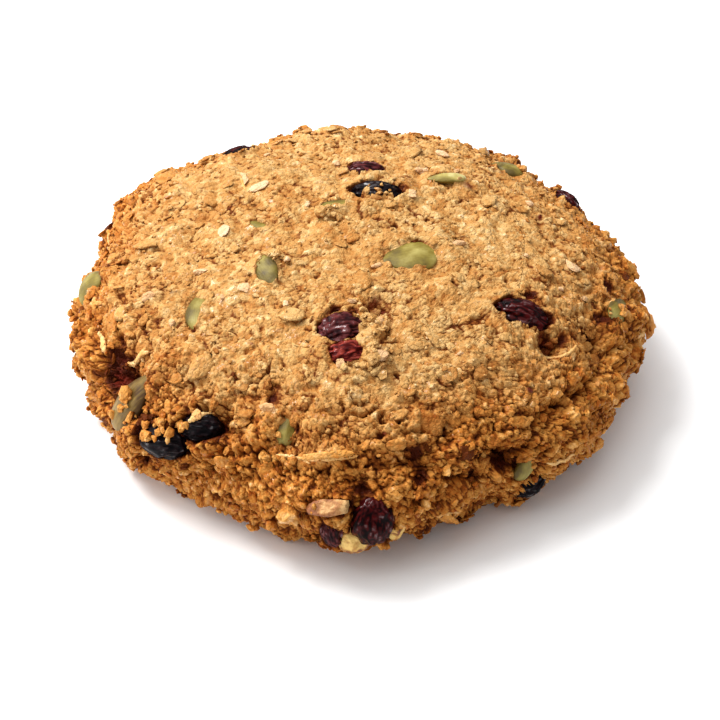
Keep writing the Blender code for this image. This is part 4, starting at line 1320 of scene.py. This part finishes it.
def flake_piece(name, rows, seed, finish, maker=flake_shape):
    """Flakes at rows of azimuth, reach, length, width, thickness, spin and roll."""
    draw = np.random.default_rng(seed)
    azimuth, reach = np.radians(rows[:, 0]), rows[:, 1]
    points, normals, openness, stain = resting_places(azimuth, reach)
    turns = turned_frames(azimuth, normals, np.radians(rows[:, 5]), np.radians(rows[:, 6]))
    centres = points + normals * (FLAKE_PROUD * rows[:, 4] - 0.0001)[:, None]
    shape = maker(len(rows), draw)
    placed, faces = copies(shape, centres, turns, rows[:, 2:5] * (0.5, 0.5, 0.35))
    placed[:, 2] = np.maximum(placed[:, 2], 0.0004)
    own = draw.uniform(0.1, 0.8, len(rows))
    # flakes take the crust's painted light and shade, a little evened out
    numbers = per_copy(len(shape[0][0]), own=own, side=browning_and_shade(reach),
                       stain=FLAKE_STAIN * stain, openness=0.2 + 0.6 * openness)
    angular = np.full(len(faces), maker is chunk_shape)
    return dough_piece(name, finish, placed, faces, numbers, angular)


def small_flakes(count, seed, low=0.0):
    """Rows for the smaller flakes that lie between the large ones, from reach low down."""
    azimuth, reach, draw = spread(count, seed, low)
    keep = keep_clear(azimuth, reach, 1.15)
    azimuth, reach = azimuth[keep], reach[keep]
    total = len(azimuth)
    side = smooth_step(reach, SIDE_START, SIDE_FULL)
    length = draw.uniform(0.0016, 0.0036, total)
    width = length * draw.uniform(0.45, 0.85, total)
    roll = draw.normal(0, 14 + 18 * side)
    thickness = draw.uniform(0.0004, 0.0008, total)
    spin = draw.uniform(0, 360, total)
    return np.column_stack([np.degrees(azimuth), reach, length, width, thickness, spin, roll])


flake_piece("oat_flakes_large", scattered_rows, 113, dough_finish)
flake_piece("oat_flakes_small", small_flakes(150, 127), 131, dough_finish)
flake_piece("oat_flakes_side", small_flakes(300, 163, 0.52), 167, dough_finish)

# %% [markdown]
# ## Pale chips and shreds
#
# Bits of coconut and broken oat stay nearly white, because their sugar doesn't brown, and a
# few long shreds of peel turn amber. Chips are the same angular bits at places read off the
# cookie. A shred is a thin flattened tube that follows a line on the crust.

# %% Pale chips
# azimuth, reach, length, width, thickness in mm, spin
CHIPS = (
    (139, 0.152, 1.3, 1.1, 0.7, 20), (98.5, 0.318, 1.5, 1.5, 0.8, 0),
    (46, 0.205, 2, 1.6, 0.9, 10), (60, 0.318, 1.7, 1.6, 1, 40), (59.5, 0.458, 3.2, 2.2, 1, 0),
    (57, 0.328, 2, 1.8, 0.9, 70), (47.5, 0.388, 1.4, 2.1, 0.9, 20),
    (-145, 0.527, 1.3, 2, 0.9, 60), (-166.5, 0.708, 1.5, 1.1, 0.9, 0),
    (-160.5, 0.398, 2.6, 1.6, 0.9, 60), (-143, 0.395, 1.5, 1.1, 0.7, 0),
    (-140, 0.34, 2.4, 2.2, 0.9, 30), (-142.5, 0.205, 1.4, 1.1, 0.7, 50),
    (-91.5, 0.262, 2.6, 1.1, 0.8, 10), (-80, 0.333, 3.2, 2.4, 1.3, 30),
    (-69.5, 0.148, 1.8, 1.2, 0.7, 20), (-17, 0.59, 1.4, 1.6, 0.8, 0),
    (-18, 0.53, 1.1, 1, 0.6, 0), (-34, 0.728, 1.4, 1.1, 0.8, 0), (-123, 0.679, 2.2, 1.7, 1, 30),
    (-82.5, 0.438, 3, 2, 1.2, 0), (-94, 0.452, 2.4, 1.8, 1.1, 60),
    (-169.5, 0.675, 1.4, 1.1, 0.8, 0), (-60, 0.5, 1.3, 1, 0.7, 0), (-120, 0.33, 1.2, 1, 0.6, 0),
    (-8, 0.42, 1.3, 1, 0.7, 0), (20, 0.48, 1.5, 1.2, 0.8, 0), (120, 0.48, 1.7, 1.2, 0.8, 0),
    (95, 0.64, 2, 1.5, 0.9, 0), (75, 0.76, 1.8, 1.4, 0.9, 0), (150, 0.74, 1.9, 1.4, 0.9, 0),
    (10, 0.82, 1.8, 1.4, 0.9, 0), (170, 0.86, 1.6, 1.3, 0.9, 0),
)
CHIP_STOPS = ((0.1, paint(200, 152, 104)), (0.5, paint(214, 176, 132)), (0.9, paint(226, 198, 162)))
pale_chip = baked("pale_chip", CHIP_STOPS, 0.4)
CHIP_UNITS = (1, 1, 0.001, 0.001, 0.0016, 1)    # to metres, and 1.6 times as thick
LONG_SHRED = 0.007                              # shown flakes longer than this are shreds
chip_rows = np.column_stack([np.array(CHIPS) * CHIP_UNITS, np.zeros(len(CHIPS))])
long_shreds = shown_rows[:, 2] > LONG_SHRED
all_chips = np.vstack([shown_rows[~long_shreds], chip_rows])
flake_piece("chips_pale", all_chips, 149, pale_chip, chunk_shape)

# %% Lines of the shreds
# half width in mm, then the line of azimuth and reach that it follows
SHREDS = (
    (0.42, ((-102.5, 0.69), (-99, 0.682), (-95.5, 0.676), (-92, 0.668), (-89, 0.662))),
    (0.3, ((-105.5, 0.697), (-102, 0.686), (-98, 0.69))),
    (0.5, ((-173, 0.715), (-168, 0.675), (-165.5, 0.645))),
    (0.6, ((-161, 0.694), (-157.5, 0.702), (-154.5, 0.706))),
    (0.8, ((-150.5, 0.692), (-149, 0.668), (-147, 0.64), (-145, 0.613))),
    (0.5, ((-124.4, 0.702), (-123, 0.682), (-121.3, 0.661))),
    (0.6, ((-7, 0.805), (-10, 0.79), (-13.5, 0.772))),
    (0.32, ((-38.5, 0.575), (-37.5, 0.598), (-36.5, 0.616), (-34.8, 0.628), (-32.5, 0.632),
            (-30.3, 0.628))),
    (0.3, ((139, 0.374), (141.5, 0.35), (145, 0.322))),
    (0.35, ((-94.5, 0.264), (-90.5, 0.254), (-86.5, 0.26))),
    (0.4, ((-52, 0.82), (-48, 0.838), (-45, 0.83))),
    (0.4, ((-70, 0.86), (-73, 0.846), (-75.5, 0.852))),
    (0.45, ((70, 0.7), (74, 0.722), (78, 0.716))),
    (0.4, ((110, 0.66), (113, 0.69), (112, 0.712))),
    (0.45, ((160, 0.7), (163, 0.73), (167, 0.74))),
    (0.4, ((20, 0.75), (22, 0.72), (25, 0.706))),
    (0.45, ((-178, 0.83), (-174, 0.812), (-171, 0.82))),
    (0.4, ((40, 0.86), (44, 0.848), (49, 0.856))),
    (0.4, ((90, 0.86), (95, 0.88), (99, 0.872))),
    (0.4, ((130, 0.82), (134, 0.8), (138, 0.806))),
)
SHRED_STEPS, SHRED_SIDES = 22, 8
SHRED_FLATNESS = 0.6        # thickness as a share of width
SHRED_PROUD = 0.25          # how far a shred's middle stands out, in half widths


def tube_faces(steps, sides):
    """Triangles of a tube of rings, each ring joined to the next, with a fan at both ends.

    Its points are numbered ring by ring, and after them come the middles of both ends.
    """
    ring = np.arange(sides)
    after = np.roll(ring, -1)
    first = np.arange(steps - 1)[:, None] * sides
    here, beside, above, across = np.broadcast_arrays(
        first + ring, first + after, first + sides + ring, first + sides + after)
    ends = steps * sides
    last = ends - sides
    return np.vstack([
        np.stack([here, beside, across], axis=2).reshape(-1, 3),
        np.stack([here, across, above], axis=2).reshape(-1, 3),
        np.column_stack([np.full(sides, ends), after, ring]),
        np.column_stack([np.full(sides, ends + 1), last + ring, last + after]),
    ])


def shred_line(line):
    """Points and normals at even steps along a line on the crust, smoothed along it by the
    weights 1, 2, 3, 2 and 1."""
    corners = np.array(line)
    where = np.linspace(0, len(corners) - 1, SHRED_STEPS)
    azimuth, reach = (np.interp(where, np.arange(len(corners)), column) for column in corners.T)
    spots, normals = resting_places(np.radians(azimuth), reach)[:2]
    kernel = np.array((1, 2, 3, 2, 1)) / 9
    padded = np.vstack([spots[:1]] * 2 + [spots] + [spots[-1:]] * 2)
    smoothed = [np.convolve(padded[:, axis], kernel, "valid") for axis in range(3)]
    return np.stack(smoothed, axis=1), normals


print("a shred has", len(tube_faces(SHRED_STEPS, SHRED_SIDES)), "faces")


# %% Amber shreds
def shred_piece(name, seed, finish):
    """Shreds as closed tubes: the half width times the root of 1 - place² tapers both ends."""
    draw = np.random.default_rng(seed)
    taper = np.sqrt(np.clip(1.02 - np.linspace(-1, 1, SHRED_STEPS) ** 2, 0, 1))
    turn = np.arange(SHRED_SIDES)[None, :, None] * 2 * math.pi / SHRED_SIDES
    tubes = []
    for half_width, line in SHREDS:
        spots, normals = shred_line(line)
        forward = np.gradient(spots, axis=0)
        forward /= np.linalg.norm(forward, axis=1)[:, None]
        across = np.cross(normals, forward)[:, None]
        up = normals[:, None]
        wide = half_width / 1000 * taper * draw.uniform(0.8, 1.2, SHRED_STEPS)
        ring = SHRED_PROUD * up + np.cos(turn) * across + SHRED_FLATNESS * np.sin(turn) * up
        tube = spots[:, None] + wide[:, None, None] * ring
        tubes.append(np.vstack([tube.reshape(-1, 3), tube[0].mean(axis=0), tube[-1].mean(axis=0)]))
    points = np.vstack(tubes)
    each, total = len(tubes[0]), len(SHREDS)
    steps = np.arange(total)[:, None, None] * each
    faces = (steps + tube_faces(SHRED_STEPS, SHRED_SIDES)).reshape(-1, 3)
    numbers = per_copy(each, own=draw.uniform(0.1, 0.9, total), side=np.full(total, 0.15),
                       stain=np.zeros(total), openness=np.full(total, 0.7))
    return dough_piece(name, finish, points, faces, numbers)


SHRED_STOPS = ((0.1, paint(206, 146, 76)), (0.5, paint(222, 174, 106)), (0.9, paint(236, 204, 146)))
shred_finish = baked("amber_shred", SHRED_STOPS, 0.4)
shred_piece("shreds", 151, shred_finish)
flake_piece("shreds_long", shown_rows[long_shreds], 157, shred_finish)

# %% [markdown]
# ## Berries
#
# A dried berry is a bag that has lost its water: its skin folds along its length and the
# folds fold again. A broad noise gives the ridges that the solid has too, where it crosses
# zero, and two finer ones draw creases in. The skin's colour paints light onto the folds'
# crowns, and paints their depths almost black as shade.

# %% Berry skins
BERRY_QUADS = 26
LOWEST_SKIN = 0.0012        # no skin comes nearer to the floor
# painted shade deep in a fold, the skin itself, painted light on a fold's crown
BERRY_SKINS = {
    "dark": (paint(3, 2, 4), paint(10, 6, 9), paint(26, 12, 15)),
    "red": (paint(5, 1, 2), paint(14, 2, 3), paint(66, 8, 8)),
    "plum": (paint(12, 3, 5), paint(46, 14, 17), paint(92, 38, 38)),
    "cut": (paint(32, 5, 6), paint(76, 16, 15), paint(146, 56, 44)),
}
# how deep the finer folds are, from 0 on a plump berry to 1 on a shrivelled one
FINE_FOLDS = {
    "cranberry_centre": 1.0, "cranberry_centre_split": 1.0, "cranberry_back": 1.0,
    "cranberry_front": 0.1, "raisin_left_low": 0.25, "raisin_left_high": 0.25,
}
USUAL_FOLDS = 0.45
PATCHES = {"red": 0.0045}   # size of the patches of lighter skin
USUAL_PATCHES = 0.0022
GLOSS_START, GLOSS_FULL = 1.20, 1.50    # sum of fold and noise over which the gloss comes in
SKIN_OF = {
    "cranberry_centre": "plum", "cranberry_centre_split": "cut", "cranberry_back": "plum",
    "cranberry_front": "red", "cranberry_front_small": "plum", "cranberry_rim_right": "red",
    "raisin_right": "red", "raisin_rim_left": "red",
}
print(len(BERRY_SKINS), "kinds of skin for", len(FRUIT), "berries")


# %% Berry shapes
def set_in(shape, piece):
    """A unit shape scaled to a piece's half sizes and moved to its place, above the floor."""
    spot = PLACES[piece.name]
    half_sizes = np.array((piece.length, piece.width, piece.thick)) / 2
    placed = (shape * half_sizes) @ spot[:3, :3].T + spot[:3, 3]
    placed[:, 2] = np.maximum(placed[:, 2], LOWEST_SKIN)
    return placed


def berry_surface(piece):
    """Points, quads and fold heights of a dried berry at its place.

    The radius is 0.92, plus up to 0.12 where the broad noise is near zero and less up to
    0.12 where it is large, plus two finer sets of folds. Then the ball is bent.
    """
    ball, quads = ball_grid(BERRY_QUADS)
    salt = SALTS[piece.name]
    fine = FINE_FOLDS.get(piece.name, USUAL_FOLDS)
    broad = 1 - np.abs(soft_noise(ball * (1.5, 2.4, 2.0) + salt, salt))
    medium = np.abs(soft_noise(ball * (2.2, 4.0, 3.8) + salt + 7, salt + 5))
    small = np.abs(soft_noise(ball * (4.0, 6.0, 6.0) + salt + 13, salt + 9))
    radius = 0.92 + min(1, 0.4 + fine) * (0.24 * broad ** 2 - 0.12)
    folds = 0.20 * (np.minimum(medium, 0.45) - 0.25) + 0.06 * (np.minimum(small, 0.4) - 0.2)
    points = ball * (radius + fine * folds)[:, None]
    points[:, 2] += 0.22 * (0.4 - ball[:, 0] ** 2)
    fold = np.clip(1.6 * medium + 0.8 * small, 0, 1)
    return set_in(points, piece), quads, {"fold": fold}


folds = berry_surface(FRUIT[0])[2]["fold"]
print(FRUIT[0].name, "has folds up to", round(float(folds.max()), 2))


# %% Berries
def berry_finish(name, patches, fold_shade, skin, painted_crown_light):
    """Sticky skin with a thin gloss: painted shade, nearly black, in its folds, and painted light,
    redder, on their crowns.
    """
    recipe = Recipe(name)
    fold = 0.6 * recipe.stored("fold") + 0.9 * recipe.noise(patches, 3) - 0.2
    # painted shade in the folds and painted light on their crowns
    colour = recipe.ramp(fold, (0.15, fold_shade), (0.45, skin), (0.80, painted_crown_light))
    wrinkles = recipe.noise(0.5 * patches, 2)
    glints = (fold + recipe.noise(0.0006, 2)).step(GLOSS_START, GLOSS_FULL)
    return recipe.finish(Base_Color=colour, Roughness=0.24 + 0.26 * recipe.noise(0.0014, 2),
                         Specular_IOR_Level=0.05, Coat_Weight=glints, Coat_Roughness=0.10,
                         Normal=recipe.bump(wrinkles, 0.00020, 0.4))


berry_finishes = {
    skin: berry_finish(skin + "_berry_skin", PATCHES.get(skin, USUAL_PATCHES), *tones)
    for skin, tones in BERRY_SKINS.items()
}
for berry in FRUIT:
    skin = mesh_piece(berry.name + "_skin", *berry_surface(berry))
    finish = berry_finishes[SKIN_OF.get(berry.name, "dark")]
    dress(skin, finish, berry.name.split("_")[0], berry.name)

# %% [markdown]
# ## Pumpkin seeds
#
# A shelled pumpkin seed is flat and drop-shaped, with a smooth olive skin that carries fine
# lines along its length. The skin's pattern follows the seed and not the world, so each
# point stores how far along and across the seed it lies.

# %% Pumpkin seeds
SEED_QUADS = 16


def seed_surface(piece):
    """Points, quads and stored along and across numbers of a pumpkin seed at its place.

    A ball narrowed towards its tip by 0.30 of its length, thinner at its sides and bent a
    little by broad noise.
    """
    ball, quads = ball_grid(SEED_QUADS)
    salt = SALTS[piece.name]
    narrowing = 1 - 0.30 * ball[:, 0] - 0.10 * ball[:, 0] ** 2
    points = ball.copy()
    points[:, 1] *= narrowing
    points[:, 2] *= narrowing * (1 - 0.15 * np.abs(ball[:, 1]))
    points[:, 2] += 0.10 * soft_noise(ball * 1.7 + salt, salt)
    return set_in(points, piece), quads, {"along": points[:, 0], "across": points[:, 1]}


def seed_finish(name, dark, skin, light, lined=0.22):
    """Seed skin: olive, lighter in the middle, with fine lines along its length."""
    recipe = Recipe(name)
    along, across = recipe.stored("along"), recipe.stored("across")
    where = recipe.node("ShaderNodeCombineXYZ", inputs={"X": 1.2 * along, "Y": 9.0 * across})
    lines = recipe.noise(1.0, 3, where)
    middle = 1 - across * across
    patches = 1.3 * (recipe.noise(0.0026, 3) - 0.5)
    tone = lined * (lines - 0.5) + 0.4 * middle + patches + 0.12 - 0.22 * along
    colour = recipe.ramp(tone, (0.15, dark), (0.48, skin), (0.85, light))
    height = lines + 0.6 * recipe.noise(0.0006, 2)
    return recipe.finish(Base_Color=colour, Roughness=0.40 + 0.2 * recipe.noise(0.0012, 2),
                         Specular_IOR_Level=0.25, Normal=recipe.bump(height, 0.00012, 0.5))


# at the edges and the tip, on the skin, in the middle
GREEN = (paint(84, 68, 22), paint(126, 110, 42), paint(166, 152, 84))
TOASTED = (paint(72, 48, 18), paint(108, 84, 34), paint(142, 114, 60))
# pale like a thin husk, and paler still as painted light on the sliver's face, which lies in shade
PALE_GREEN_AND_LIGHT = (paint(120, 104, 44), paint(168, 152, 82), paint(216, 206, 146))
green_skin = seed_finish("pumpkin_seed_skin", *GREEN)
SEED_SKINS = {
    "pumpkin_seed_left_front": seed_finish("toasted_seed_skin", *TOASTED, lined=1.1),
    "pumpkin_seed_sliver": seed_finish("pale_seed_skin", *PALE_GREEN_AND_LIGHT),
}
for seed in SEEDS:
    skin = mesh_piece(seed.name + "_skin", *seed_surface(seed))
    dress(skin, SEED_SKINS.get(seed.name, green_skin), "pumpkin_seed", seed.name)

# %% [markdown]
# ## Nut pieces
#
# A broken nut shows flat, slightly waxy faces of cream flesh and a toasted edge. A ball cut
# back by a few planes gives those faces, as it does in the solids.

# %% Nuts
NUT_QUADS = 14
NUT_SIDES, NUT_CUT = 9, 0.72
NUT_GROWTH = 1.15           # makes up for what the cuts take away


def nut_surface(piece):
    """Points, quads and edge numbers of a broken nut piece.

    Wherever a ball passes one of nine planes it is drawn back to it, and a fine roughness
    is added. What is left far from the middle is an edge.
    """
    ball, quads = ball_grid(NUT_QUADS)
    salt = SALTS[piece.name]
    draw = np.random.default_rng(salt)
    points = ball.copy()
    for direction in draw.normal(size=(NUT_SIDES, 3)):
        direction /= np.linalg.norm(direction)
        over = points @ direction
        cut = np.where(over > NUT_CUT, NUT_CUT / np.maximum(over, 0.01), 1)
        points = points * cut[:, None]
    points *= 1 + 0.08 * soft_noise(ball * 4 + salt, salt)[:, None]
    edge = smooth_step(np.linalg.norm(points, axis=1), 0.82, 1.0)
    return set_in(points * NUT_GROWTH, piece), quads, {"edge": edge, "along": ball[:, 0]}


def nut_finish(name, flesh_end, *stops):
    """Nut flesh with toasted edges: paler towards one end where flesh_end is above 0."""
    recipe = Recipe(name)
    edge = 0.5 * recipe.stored("edge") + 2.2 * (recipe.noise(0.0012, 4) - 0.5)
    colour = recipe.ramp(edge - flesh_end * (recipe.stored("along") - 0.2), *stops)
    height = recipe.noise(0.0007, 4) + 0.4 * recipe.noise(0.0002, 2)
    return recipe.finish(Base_Color=colour, Roughness=0.42 + 0.25 * recipe.noise(0.0011, 2),
                         Normal=recipe.bump(height, 0.0004, 0.8))


CREAM_FLESH = (
    (0.0, paint(236, 194, 108)), (0.24, paint(208, 154, 70)), (0.52, paint(130, 70, 26)),
)
TOASTED_FLESH = (
    (0.0, paint(214, 168, 108)), (0.30, paint(184, 126, 68)), (0.80, paint(140, 80, 36)),
)
cream_nut = nut_finish("nut_flesh", 0.0, *CREAM_FLESH)
toasted_nut = nut_finish("toasted_nut_flesh", 0.7, *TOASTED_FLESH)
for nut in NUTS:
    flesh = mesh_piece(nut.name + "_flesh", *nut_surface(nut))
    dress(flesh, toasted_nut if nut.name == "nut_piece_upper" else cream_nut, "nut", nut.name)

# %% [markdown]
# ## Floor, light and camera
#
# The cookie rests on a plain pale floor. A soft lamp high on the left and a little behind
# gives the grains their shadows, a much larger one above it softens them, and a weak one low
# on the left reaches under the rim. An even pale sky fills what is left. The camera looks
# down at 40 degrees through a long lens from 0.3 m, which keeps the round outline nearly
# true.

# %% Floor
FLOOR_HALF = 2.0
FLOOR_WHITE = (0.94, 0.94, 0.94, 1)
corners = np.array([(-1, -1, 0), (1, -1, 0), (1, 1, 0), (-1, 1, 0)]) * FLOOR_HALF
floor = mesh_piece("floor", corners, np.array([[0, 1, 2, 3]]))
white = Recipe("pale_floor")
floor.data.materials.append(white.finish(Base_Color=FLOOR_WHITE, Roughness=0.9))

# %% Lights
# name, place, size, power
LAMPS = (
    ("key", (-0.26, 0.15, 0.44), 0.26, 3.0),
    ("soft_key", (-0.14, 0.10, 0.55), 0.80, 2.95),
    ("low_fill", (-0.46, -0.03, 0.15), 0.30, 1.0),
)
LAMP_TARGET = Vector((0, 0, 0.01))
SKY_STRENGTH = 0.46


def lamp(name, spot, size, power):
    """A square soft lamp at spot, turned to face the cookie."""
    light = bpy.data.lights.new(name, "AREA")
    light.size = size
    light.energy = power
    item = bpy.data.objects.new(name, light)
    item.location = spot
    item.rotation_euler = (LAMP_TARGET - Vector(spot)).to_track_quat("-Z", "Y").to_euler()
    bpy.context.scene.collection.objects.link(item)


for row in LAMPS:
    lamp(*row)
sky = bpy.data.worlds.new("pale_sky")
sky.use_nodes = True
background = sky.node_tree.nodes["Background"]
background.inputs["Color"].default_value = (1, 1, 1, 1)
background.inputs["Strength"].default_value = SKY_STRENGTH
bpy.context.scene.world = sky
bpy.context.scene.view_settings.view_transform = "Standard"
print(len(LAMPS), "lamps and a sky")

# %% Camera
LENS = 85
SENSOR = 36
CAMERA_ELEVATION = math.radians(40)
CAMERA_DISTANCE = 0.30155
CAMERA_TARGET = Vector((0.00086, 0, -0.00026))
lens = bpy.data.cameras.new("camera")
lens.lens = LENS
lens.sensor_width = SENSOR
camera = bpy.data.objects.new("camera", lens)
back = Vector((0, -math.cos(CAMERA_ELEVATION), math.sin(CAMERA_ELEVATION)))
camera.location = CAMERA_TARGET + back * CAMERA_DISTANCE
camera.rotation_euler = (math.pi / 2 - CAMERA_ELEVATION, 0, 0)
bpy.context.scene.collection.objects.link(camera)
bpy.context.scene.camera = camera
print("camera at", [round(part, 3) for part in camera.location])

# %% [markdown]
# ## Finish
#
# The visual model has to stay in the solids' box, give or take a few millimetres.
